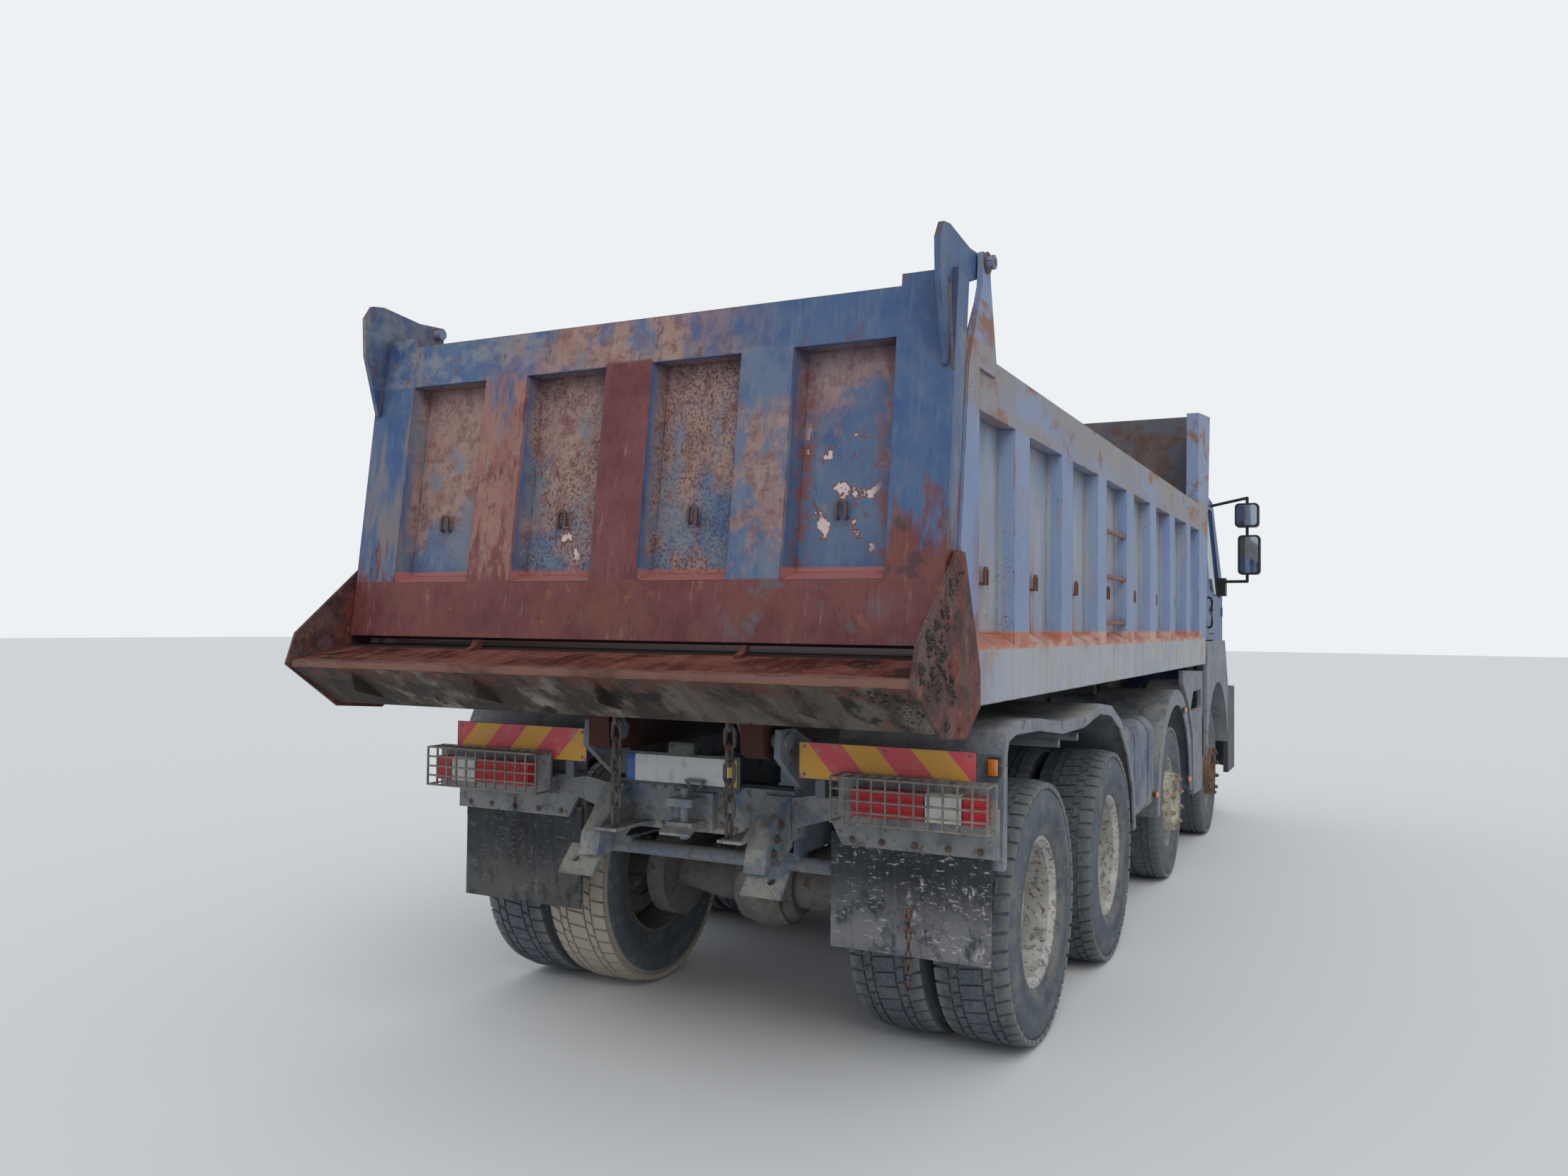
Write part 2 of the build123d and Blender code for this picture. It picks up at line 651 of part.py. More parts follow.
mid_guard_outer = 762
mid_guard_lip = 105
mid_guard_y0 = 720
mid_guard_y1 = 1215
mid_guard_z = front_tyre_radius
mid_disc = Circle(mid_guard_outer) - Circle(mid_guard_outer - guard_sheet)
mid_ring = Circle(mid_guard_outer) - Circle(mid_guard_outer - mid_guard_lip)
mid_keep = Pos(0, mid_guard_outer / 2) * Rectangle(2 * mid_guard_outer, mid_guard_outer)
mid_face = Pos(0, mid_guard_y1, 0) * (Plane.XZ * (mid_disc & mid_keep))
mid_lip = Pos(0, mid_guard_y1, 0) * (Plane.XZ * (mid_ring & mid_keep))
mid_guard = extrude(mid_face, mid_guard_y1 - mid_guard_y0, dir=(0, -1, 0))
mid_guard += extrude(mid_lip, guard_sheet, dir=(0, -1, 0))
mid_guard = Pos(axle_x[2], 0, mid_guard_z) * mid_guard
for x in (axle_x[2] - 250, axle_x[2] + 250):
    top = mid_guard_z + (mid_guard_outer ** 2 - 250 ** 2) ** 0.5 - guard_sheet
    mid_guard += cross_rod(x, top - 30, 18, rail_outer_y - 4, mid_guard_y1 - 140)
    mid_guard += limits(x - 12, x + 12, mid_guard_y1 - 190, mid_guard_y1 - 160, top - 40, top + 4)
    mid_guard += limits(x - 30, x + 30, rail_outer_y, rail_outer_y + 20, 960, top - 14)
save("mid_mudguards", both(mid_guard))

# Step panels of grey moulded plastic between the two steered axles
panel_y = 1222
panel_sheet = 30
panel_rear = axle_x[2] + mid_guard_outer - 30
panel_front = axle_x[1] - 690
panel = side_prism(
    [(axle_x[2] + 250, 1400), (panel_front + 120, 1362), (panel_front + 160, 1240), (panel_front - 60, 1000),
     (panel_front - 90, 460), (panel_rear + 40, 470), (panel_rear, 900), (panel_rear - 210, 1150),
     (axle_x[2] + 250, 1310)],
    panel_y - panel_sheet, panel_y)
panel -= side_prism(
    [(panel_rear - 130, 1090), (panel_rear + 20, 1230), (panel_front - 140, 1230), (panel_front - 140, 1090)],
    panel_y - panel_sheet - 5, panel_y + 5, 18)
for z in (780, 560):
    panel += limits(panel_rear + 70, panel_front - 140, panel_y - 180, panel_y - 4, z, z + 22)
panel += limits(panel_rear + 120, panel_rear + 160, rail_outer_y, panel_y - panel_sheet + 2, 900, 960)
save("step_panels", both(panel))

# Tipping body: floor on cross bearers over two long beams that turn on the tip pins
beam_outer_y = rail_outer_y - 27
beam_inner_y = 300
bed_beam_bottom_z = subframe_top_z + 8
floor_rear_x = bed_rear_bottom_x + 40
headboard_back_x = bed_front_x - headboard_thickness
bearer_count = 13
bearer_width = 90
bearer_bottom_z = sill_bottom_z + 12
beam_top_z = sill_bottom_z + 20
floor = limits(floor_rear_x, headboard_back_x, -wall_inner, wall_inner, floor_top_z - floor_plate,
               floor_top_z)
beam_outline = [
    (pivot_x - 90, pivot_z - 50), (pivot_x - 40, pivot_z - 70), (pivot_x + 60, bed_beam_bottom_z),
    (headboard_back_x, bed_beam_bottom_z), (headboard_back_x, beam_top_z), (pivot_x - 110, beam_top_z),
]
for side in (1, -1):
    long_beam = side_prism(beam_outline, side * beam_inner_y, side * beam_outer_y)
    long_beam -= cross_rod(pivot_x, pivot_z, pivot_pin_radius + bearing_gap, side * (beam_inner_y - 20),
                           side * (beam_outer_y + 20))
    floor += long_beam
bearer_pitch = (headboard_back_x - floor_rear_x - 80 - bearer_width) / (bearer_count - 1)
for index in range(bearer_count):
    x = floor_rear_x + 40 + index * bearer_pitch
    floor += limits(x, x + bearer_width, -wall_inner, wall_inner, bearer_bottom_z, floor_top_z - floor_plate)
hoist_eye_half = 70
clevis_y = hoist_eye_half + 8
clevis_plate = 22
for side in (1, -1):
    floor += side_prism(
        [(hoist_x - 120, beam_top_z), (hoist_x + 120, beam_top_z), (hoist_x + 55, hoist_top_z - 60),
         (hoist_x - 55, hoist_top_z - 60)],
        side * clevis_y, side * (clevis_y + clevis_plate))
floor += limits(hoist_x - 130, hoist_x + 130, -beam_inner_y - 10, beam_inner_y + 10, bearer_bottom_z,
                bearer_bottom_z + 28)
save("bed_floor", floor)


# Side walls: one thick pressed wall a side, with tapered recesses between the ribs
def front_face_x(z):
    return bed_front_x + (z - sill_bottom_z) * tan(radians(front_lean))


def gate_inner_x(z):
    """Rear face of the body's posts, parallel to the closed tailgate."""
    return gate_bottom_x + gate_thickness + running_gap + (z - gate_bottom_z) * tan(radians(gate_lean))


ear_inner_y = post_half - 20


def side_wall():
    outline = [
        (gate_inner_x(sill_bottom_z), sill_bottom_z), (bed_front_x, sill_bottom_z),
        (front_face_x(headboard_top_z), headboard_top_z), (cheek_rear_x + 30, headboard_top_z - 70),
        (cheek_rear_x, side_top_z), (gate_inner_x(side_top_z) + 270, side_top_z),
        (gate_pin_x + 45, gate_pin_z - 60), (gate_pin_x + 40, gate_pin_z + 20),
        (gate_pin_x - 40, gate_pin_z + 20), (gate_pin_x - 45, gate_pin_z - 100),
        (gate_inner_x(side_top_z), side_top_z),
    ]
    wall = side_prism(outline, wall_inner, body_half)
    recess_x = [rear_post_inner_x]
    for index in range(rib_count):
        rib_x = first_rib_x + index * rib_pitch
        recess_x += [rib_x - rib_width / 2, rib_x + rib_width / 2]
    recess_x.append(cheek_rear_x + 60)
    taper = 22
    height = rail_under_z - sill_top_z
    for index in range(0, len(recess_x), 2):
        x0 = recess_x[index]
        x1 = recess_x[index + 1]
        middle = (x0 + x1) / 2
        mouth = Pos(middle, body_half, sill_top_z + height / 2) * (Plane.XZ * Rectangle(x1 - x0, height))
        back = Pos(middle, body_half - recess_depth, sill_top_z + (height + ledge_rise) / 2) * (
            Plane.XZ * Rectangle(x1 - x0 - 2 * taper, height - ledge_rise))
        wall -= loft([back.face(), mouth.face()])
    wall -= limits(gate_pin_x - 200, gate_inner_x(side_top_z) + 400, wall_inner - 5, ear_inner_y,
                   side_top_z + 60, gate_pin_z + 60)
    post = side_prism(
        [(gate_inner_x(sill_bottom_z), sill_bottom_z), (rear_post_inner_x - 40, sill_bottom_z),
         (rear_post_inner_x - 40, side_top_z - 60), (gate_inner_x(side_top_z), side_top_z - 60)],
        body_half - 1, post_half)
    ear = side_prism(
        [(gate_inner_x(side_top_z), side_top_z - 61), (rear_post_inner_x + 150, side_top_z - 61),
         (rear_post_inner_x + 150, side_top_z), (gate_pin_x + 50, gate_pin_z - 60),
         (gate_pin_x + 36, gate_pin_z + 30),
         (gate_pin_x - 36, gate_pin_z + 30), (gate_pin_x - 50, gate_pin_z - 90)],
        ear_inner_y, post_half)
    wall = wall + post + ear
    wall += cross_rod(gate_pin_x, gate_pin_z, gate_pin_radius, wall_inner + 20, post_half + 30)
    for index in range(0, len(recess_x), 2):
        middle = (recess_x[index] + recess_x[index + 1]) / 2
        wall += Pos(middle, body_half - recess_depth, side_hook_z) * (Rot(0, 0, -90) * rope_hook())
    return wall


side_left = side_wall()
ladder_x0 = first_rib_x + 2 * rib_pitch + rib_width / 2 - 6
ladder_x1 = first_rib_x + 3 * rib_pitch - rib_width / 2 + 6
ladder_y = -body_half + rung_radius + 4
side_right = mirrored(side_left)
for z in rung_z:
    side_right += rod((ladder_x0, ladder_y, z), (ladder_x1, ladder_y, z), rung_radius)
save("bed_side_left", side_left)
save("bed_side_right", side_right)

# Headboard between the side walls, with two stiffening ribs on its front
headboard = side_prism(
    [(headboard_back_x, sill_bottom_z), (bed_front_x, sill_bottom_z),
     (front_face_x(headboard_top_z), headboard_top_z),
     (front_face_x(headboard_top_z) - headboard_thickness, headboard_top_z),
     (headboard_back_x, sill_bottom_z + 40)],
    -wall_inner, wall_inner)
for z in (1900, 2450, 3000):
    slot = side_prism(
        [(front_face_x(z - 170) - 55, z - 170), (front_face_x(z - 190) + 5, z - 190),
         (front_face_x(z + 190) + 5, z + 190), (front_face_x(z + 170) - 55, z + 170)],
        -wall_inner + 90, wall_inner - 90)
    headboard -= slot
save("headboard", headboard)

# Apron: the spill plate behind the tailgate, its sloping underside and the two end wings
apron_front_x = floor_rear_x
slope_end_x = apron_low_x + 330
apron = side_prism(
    [(apron_front_x, floor_top_z), (apron_front_x, floor_top_z - 24), (lip_x + 20, lip_z), (lip_x, lip_z),
     (lip_x, lip_z + 28), (lip_x + 40, lip_z + 32), (gate_bottom_x, floor_top_z - 6)],
    -post_half, post_half)
apron += side_prism(
    [(lip_x, lip_z), (lip_x + 14, lip_z), (apron_low_x + 10, apron_low_z + 12),
     (slope_end_x, sill_bottom_z + 4),
     (slope_end_x, sill_bottom_z - 8), (apron_low_x, apron_low_z)],
    -post_half, post_half)
for side in (1, -1):
    apron -= side_prism(
        [(gate_inner_x(sill_bottom_z), sill_bottom_z), (slope_end_x + 50, sill_bottom_z),
         (slope_end_x + 50, gate_bottom_z), (gate_inner_x(gate_bottom_z), gate_bottom_z)],
        side * wall_inner, side * (post_half + 5))
gusset_pitch = (post_half - 182) / 3
for index in range(-3, 4):
    y = index * gusset_pitch
    apron += side_prism(
        [(lip_x + 8, lip_z + 4), (apron_front_x, floor_top_z - 20), (apron_front_x, sill_bottom_z),
         (apron_low_x + 4, apron_low_z + 4)],
        y - 6, y + 6)
latch_x = gate_bottom_x - 10
for y in (gate_rib_offset, -gate_rib_offset):
    apron += side_prism(
        [(latch_x - latch_reach, 1566), (latch_x, 1572), (latch_x, gate_bottom_z - 8),
         (latch_x - 24, gate_bottom_z - 8), (latch_x - 36, gate_bottom_z - 32),
         (latch_x - latch_reach, 1590)],
        y - latch_half, y + latch_half)
wing = side_prism(
    [(rear_axle_x - 1180, 1930), (rear_axle_x - 1250, 1935), (lip_x + 20, 1640), (lip_x - 22, lip_z + 10),
     (apron_low_x - 10, apron_low_z - 14), (rear_axle_x - 1160, 1330), (rear_axle_x - 1010, sill_bottom_z),
     (rear_axle_x - 1010, sill_bottom_z + 120)],
    post_half, post_half + wing_plate)
apron += wing + mirrored(wing)
save("rear_apron", apron)


# Tailgate, drawn upright on its outer face and then leaned and set in place
def tailgate():
    height = (gate_top_z - gate_bottom_z) / cos(radians(gate_lean))
    column = (gate_column_top_z - gate_bottom_z) / cos(radians(gate_lean))
    pocket_low = (gate_recess_bottom_z - gate_bottom_z) / cos(radians(gate_lean))
    pocket_high = (gate_recess_top_z - gate_bottom_z) / cos(radians(gate_lean))
    gate = limits(0, gate_thickness, -gate_half, gate_half, 0, height)
    for side in (1, -1):
        gate += limits(0, gate_thickness, side * (gate_column_inner + 10), side * gate_half, height - 1,
                       column)
    edges = [gate_column_inner]
    for y in gate_rib_y:
        edges += [y + gate_rib_width / 2, y - gate_rib_width / 2]
    edges.append(-gate_column_inner)
    taper = 26
    ledge = 34
    for index in range(0, len(edges), 2):
        y1 = edges[index]
        y0 = edges[index + 1]
        mouth = Pos(0, (y0 + y1) / 2, (pocket_low + pocket_high) / 2) * (
            Plane.YZ * Rectangle(y1 - y0, pocket_high - pocket_low))
        floor_face = Pos(gate_recess, (y0 + y1) / 2, (pocket_low + ledge + pocket_high) / 2) * (
            Plane.YZ * Rectangle(y1 - y0 - 2 * taper, pocket_high - pocket_low - ledge))
        gate -= loft([mouth.face(), floor_face.face()])
        gate += Pos(gate_recess, (y0 + y1) / 2, gate_hook_z - gate_bottom_z) * rope_hook()
    return Pos(gate_bottom_x, 0, gate_bottom_z) * (Rot(0, gate_lean, 0) * gate)


fin_outer_y = ear_inner_y - running_gap
fin_plate = 20
fin = side_prism(
    [(gate_pin_x - 325, gate_pin_z - 411), (gate_pin_x - 399, gate_pin_z - 175),
     (gate_pin_x - 407, gate_pin_z - 23), (gate_pin_x - 370, gate_pin_z + 35),
     (gate_pin_x - 310, gate_pin_z + 45), (gate_pin_x - 105, gate_pin_z + 25),
     (gate_pin_x + 40, gate_pin_z + 36), (gate_pin_x + 40, gate_pin_z - 36),
     (gate_pin_x - 160, gate_pin_z - 110), (gate_pin_x - 220, gate_pin_z - 240)],
    fin_outer_y - fin_plate, fin_outer_y)
fin -= cross_rod(gate_pin_x, gate_pin_z, gate_pin_radius + bearing_gap, fin_outer_y - 60, fin_outer_y + 30)
save("tailgate", tailgate() + fin + mirrored(fin))

# Underfloor hoist: an outer tube on trunnions and telescoping rams, the last with an eye
tube_top_z = hoist_top_z - 110
tube_floor = 16
tube_middle_z = (hoist_bottom_z + tube_top_z) / 2
tube = Pos(hoist_x, 0, tube_middle_z) * Cylinder(hoist_radius, tube_top_z - hoist_bottom_z)
tube -= Pos(hoist_x, 0, (hoist_bottom_z + tube_floor + tube_top_z + 10) / 2) * Cylinder(
    hoist_radius - hoist_wall, tube_top_z + 10 - hoist_bottom_z - tube_floor)
for side in (1, -1):
    tube += cross_rod(hoist_x, hoist_trunnion_z, trunnion_radius, side * (hoist_radius - 4),
                      side * (trunnion_y + cradle_plate))
save("hoist_tube", tube)

ram_clearance = 0.3
ram_step = 12
radius = hoist_radius
for index in range(1, hoist_ram_count + 1):
    radius = radius - hoist_wall - ram_clearance
    bottom = hoist_bottom_z + tube_floor + ram_step * index - ram_step + 1
    top = tube_top_z + ram_step * index
    ram = Pos(hoist_x, 0, (bottom + top) / 2) * Cylinder(radius, top - bottom)
    if index < hoist_ram_count:
        ram -= Pos(hoist_x, 0, (bottom + ram_step + top + 10) / 2) * Cylinder(
            radius - hoist_wall, top + 10 - bottom - ram_step)
    else:
        ram += cross_rod(hoist_x, hoist_top_z, hoist_eye_radius, -hoist_eye_half, hoist_eye_half)
        ram += limits(hoist_x - 28, hoist_x + 28, -28, 28, top - 4, hoist_top_z)
        ram -= cross_rod(hoist_x, hoist_top_z, 20, -hoist_eye_half - 10, hoist_eye_half + 10)
    save(f"hoist_ram_{index}", ram)

# Cab: a thick-walled shell over the engine, wider at the waist than at the roof
arch_centre_z = front_tyre_radius + 40
arch_radius = 700
screen_top_x = cab_front_x - 310
screen_top_z = cab_roof_z - 170
tunnel_half = 430
tunnel_top_z = 1470
cab_section_low_z = 1000


def cab_profile(inset):
    """Side outline of the cab, drawn inset from its outer face."""
    return [
        (cab_rear_x + inset, cab_floor_rear_z + inset),
        (axle_x[1] + 500 + 0.4 * inset, cab_floor_rear_z + inset),
        (axle_x[1] + 740 + 0.4 * inset, cab_sill_z + inset), (cab_front_x - inset, cab_sill_z + inset),
        (cab_front_x - inset, cab_waist_z - 60), (screen_top_x - inset, screen_top_z),
        (screen_top_x - 130 - 0.5 * inset, cab_roof_z - inset), (cab_rear_x + 60, cab_roof_z - inset),
        (cab_rear_x + inset, cab_roof_z - 60),
    ]


def cab_section(inset):
    """Outline from behind, with the side walls leaning in above the waist."""
    half = cab_half - inset
    roof = cab_roof_half - inset
    return [
        (-half, cab_section_low_z), (half, cab_section_low_z), (half, cab_waist_z),
        (roof + 12, cab_roof_z - 110),
        (roof - 60, cab_roof_z - inset), (-roof + 60, cab_roof_z - inset), (-roof - 12, cab_roof_z - 110),
        (-half, cab_waist_z),
    ]


def cab_plan(inset):
    """Outline from above, rounded at the two front corners."""
    half = cab_half - inset
    front = cab_front_x - inset
    rear = cab_rear_x - 10
    face = Polygon((rear, -half), (front, -half), (front, half), (rear, half), align=None)
    return fillet(face.vertices().group_by(Axis.X)[-1], cab_corner_radius - inset)


def cab_form(inset):
    across = side_prism(cab_profile(inset), -cab_half, cab_half)
    along = end_prism(cab_section(inset), cab_rear_x - 10, cab_front_x + 10)
    height = cab_roof_z - cab_section_low_z + 10
    down = extrude(Pos(0, 0, cab_section_low_z) * cab_plan(inset), height, dir=(0, 0, 1))
    return across & along & down


door_foot_z = cab_floor_rear_z + cab_wall + 12


def door_outline(gap):
    """Door edge in side view, grown outwards by a gap."""
    return [
        (door_rear_x - gap, door_foot_z - gap), (axle_x[1] + 545 - gap, door_foot_z - gap),
        (axle_x[1] + 780 - gap, door_bottom_z - gap), (door_front_x + gap, door_bottom_z - gap),
        (door_front_x + gap, cab_waist_z), (screen_top_x - 60 + gap, door_top_z + gap),
        (door_rear_x - gap, door_top_z + gap),
    ]


def window_outline(inset):
    return [
        (door_rear_x + 70 + inset, cab_waist_z + 40 + inset),
        (door_front_x - 90 - inset, cab_waist_z - 20 + inset),
        (door_front_x - 70 - inset, cab_waist_z + 40), (screen_top_x - 150 - inset, door_top_z - 70 - inset),
        (door_rear_x + 70 + inset, door_top_z - 70 - inset),
    ]


def screen_cut(inset, x0, x1):
    """Opening through the windscreen, from behind."""
    low_half = cab_half - 95 - inset
    high_half = cab_roof_half - 70 - inset
    low_z = cab_waist_z + 5 + inset
    high_z = screen_top_z - 45 - inset
    return end_prism(
        [(-low_half, low_z), (low_half, low_z), (high_half, high_z), (-high_half, high_z)], x0, x1)


def rear_light_cut(inset, x0, x1):
    return limits(x0, x1, -460 + inset, 460 - inset, 2150 + inset, 2600 - inset)


cab_inner = cab_form(cab_wall)
cab_skin = cab_form(0) - cab_inner
tunnel_front_x = cab_front_x - cab_wall - 60
tunnel_wall = 30
tunnel = limits(cab_rear_x + 1, tunnel_front_x, -tunnel_half, tunnel_half, 1100, tunnel_top_z)
tunnel_shell = side_prism(
    [(axle_x[1] + 560, cab_sill_z + 1), (tunnel_front_x + tunnel_wall, cab_sill_z + 1),
     (tunnel_front_x + tunnel_wall, tunnel_top_z + tunnel_wall),
     (axle_x[1] + 500, cab_floor_rear_z + cab_wall - 1), (axle_x[1] + 480, cab_floor_rear_z + 1)],
    -tunnel_half - tunnel_wall, tunnel_half + tunnel_wall)
door_zone = side_prism(door_outline(door_gap), cab_half - 200, cab_half + 20)
cab = (cab_skin + (tunnel_shell & cab_form(1))) - tunnel - door_zone - mirrored(door_zone)
cab -= screen_cut(0, screen_top_x - 300, cab_front_x + 50)
cab -= rear_light_cut(0, cab_rear_x - 20, cab_rear_x + 100)

# Door hinges: the shell carries the lower knuckle and the pin, the door the upper knuckle round it
hinge_x = door_front_x + door_gap / 2
hinge_y = cab_half + 2
knuckle_radius = 10
knuckle_height = 40
hinge_pin_radius = 5
hinge_room = knuckle_radius + 5


def upright(z0, z1, radius):
    return Pos(hinge_x, hinge_y, (z0 + z1) / 2) * Cylinder(radius, z1 - z0)


for z in door_hinge_z:
    room = upright(z - 2, z + knuckle_height + 5, hinge_room)
    lower = upright(z - knuckle_height, z - 0.5, knuckle_radius)
    lower += upright(z - knuckle_height, z + knuckle_height, hinge_pin_radius)
    cab = cab - room - mirrored(room) + lower + mirrored(lower)
save("cab_shell", cab)

glass_inset = 18
glass_gap = 0.3
glass_thickness = 6
glass_layer = cab_form(glass_inset) - cab_form(glass_inset + glass_thickness)
windscreen = glass_layer & screen_cut(glass_gap, screen_top_x - 300, cab_front_x + 50)
rear_light = glass_layer & rear_light_cut(glass_gap, cab_rear_x - 20, cab_rear_x + 100)
save("cab_glass", loose(windscreen, rear_light))


def door(side):
    leaf = cab_skin & side_prism(door_outline(0), cab_half - 200, cab_half + 20)
    leaf -= side_prism(window_outline(0), cab_half - 200, cab_half + 20)
    leaf -= plan_prism(
        [(door_rear_x - 20, cab_half - 45), (door_rear_x, cab_half - 45), (door_rear_x + 10, cab_half - 120),
         (door_rear_x - 20, cab_half - 120)],
        door_foot_z - 20, door_top_z + 20)
    for z in door_hinge_z:
        leaf -= upright(z - knuckle_height - 5, z + 0.5, hinge_room)
        leaf += upright(z + 0.5, z + knuckle_height, knuckle_radius)
        leaf -= upright(z - 5, z + knuckle_height + 5, hinge_pin_radius + bearing_gap)
    return leaf if side > 0 else mirrored(leaf)


door_glass = glass_layer & side_prism(window_outline(glass_gap), cab_half - 200, cab_half + 20)
save("door_left", door(1))
save("door_right", door(-1))
save("door_glass_left", door_glass)
save("door_glass_right", mirrored(door_glass))

# Mirrors on tube arms that the door carries, with a kerb mirror over the right-hand window
mirror_x = axle_x[1] + 825
arm_radius = 13
upper_head = (cab_half + 150, cab_half + 350, 2602, 2815)
lower_head = (cab_half + 175, cab_half + 360, 2180, 2530)


def side_mirror():
    arm_y = cab_half + 250
    door_y = cab_half - 22
    arm_top_z = 2865
    arm_low_z = 2120
    arm = rod((mirror_x + 20, door_y - 60, arm_top_z - 65), (mirror_x, arm_y, arm_top_z), arm_radius)
    arm += rod((mirror_x, arm_y, arm_top_z), (mirror_x, arm_y, arm_low_z), arm_radius)
    arm += rod((mirror_x, arm_y, arm_low_z), (mirror_x + 20, door_y + 20, arm_low_z), arm_radius)
    for z in (arm_low_z, arm_top_z):
        arm += Pos(mirror_x, arm_y, z) * Sphere(arm_radius)
    mount = limits(mirror_x - 40, mirror_x + 80, cab_half, cab_half + 70, 1990, 2150)
    for y0, y1, z0, z1 in (upper_head, lower_head):
        head = limits(mirror_x - 45, mirror_x + 45, y0, y1, z0, z1)
        head = fillet(head.edges().filter_by(Axis.X), 35)
        arm += head
    return (arm + mount) - cab_form(0)


mirror_piece = side_mirror()
save("mirror_left", mirror_piece)
save("mirror_right", mirrored(mirror_piece))

# Wheel arches below the cab: an outer flare and a liner round the opening
flare_outer_y = 1250
flare_sheet = 25
liner_sheet = 12
liner_y0 = 720
arch_x = axle_x[1]
flare = side_prism(
    [(arch_x - arch_radius - liner_sheet, 700), (arch_x - arch_radius - liner_sheet, 1500),
     (arch_x - arch_radius + 60, cab_floor_rear_z - 4), (arch_x + 485, cab_floor_rear_z - 4),
     (arch_x + arch_radius + liner_sheet, 1210), (arch_x + arch_radius + liner_sheet, 800)],
    flare_outer_y - flare_sheet, flare_outer_y)
flare -= cross_rod(arch_x, arch_centre_z, arch_radius, flare_outer_y - 60, flare_outer_y + 10)
liner = Circle(arch_radius + liner_sheet) - Circle(arch_radius)
liner = liner & (Pos(0, 500 + 150) * Rectangle(2000, 1000))
liner = extrude(Pos(0, flare_outer_y, 0) * (Plane.XZ * liner), flare_outer_y - liner_y0, dir=(0, -1, 0))
flare += Pos(arch_x, 0, arch_centre_z) * liner
for x in (arch_x - 300, arch_x + 300):
    flare += limits(x - 20, x + 20, 1050, 1090, arch_centre_z + 636, cab_floor_rear_z)
save("cab_wheel_arches", both(flare))

# Front bumper with lamp pockets, and the grille on the cab's face
bumper_low_z = 430
bumper_top_z = cab_sill_z - 8
bumper_rear_x = arch_x + arch_radius + liner_sheet + 4
bumper_wall = 40


def bumper_plan(inset):
    half = flare_outer_y - inset
    front = bumper_front_x - inset
    rear = bumper_rear_x - inset
    return [
        (rear, -half), (front - 230, -half), (front - 70, -half + 110), (front, -half + 330),
        (front, half - 330), (front - 70, half - 110), (front - 230, half), (rear, half),
    ]


bumper = plan_prism(bumper_plan(0), bumper_low_z, bumper_top_z)
bumper -= plan_prism(bumper_plan(bumper_wall), bumper_low_z - 10, bumper_top_z + 10)
lamp_low_z = 760
lamp_high_z = 960
lamp_inner_y = 640
lamp_outer_y = 860
lamp_clear = 1
for side in (1, -1):
    bumper -= limits(bumper_front_x - 80, bumper_front_x + 20, side * lamp_inner_y, side * lamp_outer_y,
                     lamp_low_z, lamp_high_z)
bumper -= limits(bumper_front_x - 80, bumper_front_x + 20, -480, 480, 620, 900)
for side in (1, -1):
    bumper += limits(rail_front_x - 100, bumper_front_x - bumper_wall + 1, side * (rail_outer_y + 40),
                     side * rail_outer_y, rail_bottom_z + 30, rail_bottom_z + 110)
save("front_bumper", bumper)

lamp_back_x = bumper_front_x - bumper_wall
lamp = limits(lamp_back_x - 30, bumper_front_x - 8, lamp_inner_y + lamp_clear, lamp_outer_y - lamp_clear,
              lamp_low_z + lamp_clear, lamp_high_z - lamp_clear)
lamp += limits(lamp_back_x - 30, lamp_back_x, lamp_inner_y - 10, lamp_outer_y + 10, lamp_low_z - 10,
               lamp_high_z + 10)
save("headlamps", both(lamp))

grille_half = 820
grille_low_z = 1230
grille_high_z = 1900
grille_depth = 34
grille_slats = 6
grille_border = 48
grille_face_x = cab_front_x + grille_depth
slat_half = grille_half - grille_border
grille = limits(cab_front_x, grille_face_x, -grille_half, grille_half, grille_low_z, grille_high_z)
grille -= limits(cab_front_x + 8, grille_face_x + 5, -slat_half, slat_half, grille_low_z + grille_border,
                 grille_high_z - grille_border)
slat_pitch = (grille_high_z - grille_low_z - 2 * grille_border) / grille_slats
for index in range(grille_slats):
    z = grille_low_z + grille_border + slat_pitch * (index + 0.5)
    grille += side_prism(
        [(cab_front_x + 7, z + 22), (grille_face_x, z - 14), (grille_face_x, z - 26),
         (cab_front_x + 7, z + 6)],
        -slat_half - 1, slat_half + 1)
save("front_grille", grille)

# Cab interior: two seats on pedestals, the dashboard, and the steering wheel on its column
cab_floor_top_z = cab_floor_rear_z + cab_wall
seat_x = axle_x[1] + 60
seat_y = 620


def seat(y):
    pan = limits(seat_x - 230, seat_x + 260, y - 240, y + 240, cab_floor_top_z + 260, cab_floor_top_z + 390)
    back = side_prism(
        [(seat_x - 250, cab_floor_top_z + 330), (seat_x - 130, cab_floor_top_z + 330),
         (seat_x - 210, cab_floor_top_z + 1060), (seat_x - 300, cab_floor_top_z + 1060)],
        y - 230, y + 230)
    base = limits(seat_x - 160, seat_x + 180, y - 170, y + 170, cab_floor_top_z, cab_floor_top_z + 261)
    return pan + back + base


save("seats", loose(seat(seat_y), seat(-seat_y)))

dash_front_x = cab_front_x - cab_wall
dash_low_z = tunnel_top_z + tunnel_wall + 80
dashboard = side_prism(
    [(dash_front_x - 300, dash_low_z), (dash_front_x, dash_low_z), (dash_front_x, 1900),
     (dash_front_x - 140, 1940), (dash_front_x - 380, 1880), (dash_front_x - 400, 1760)],
    -cab_half + cab_wall + 40, cab_half - cab_wall - 40)
dashboard = dashboard & cab_form(cab_wall)
save("dashboard", dashboard)

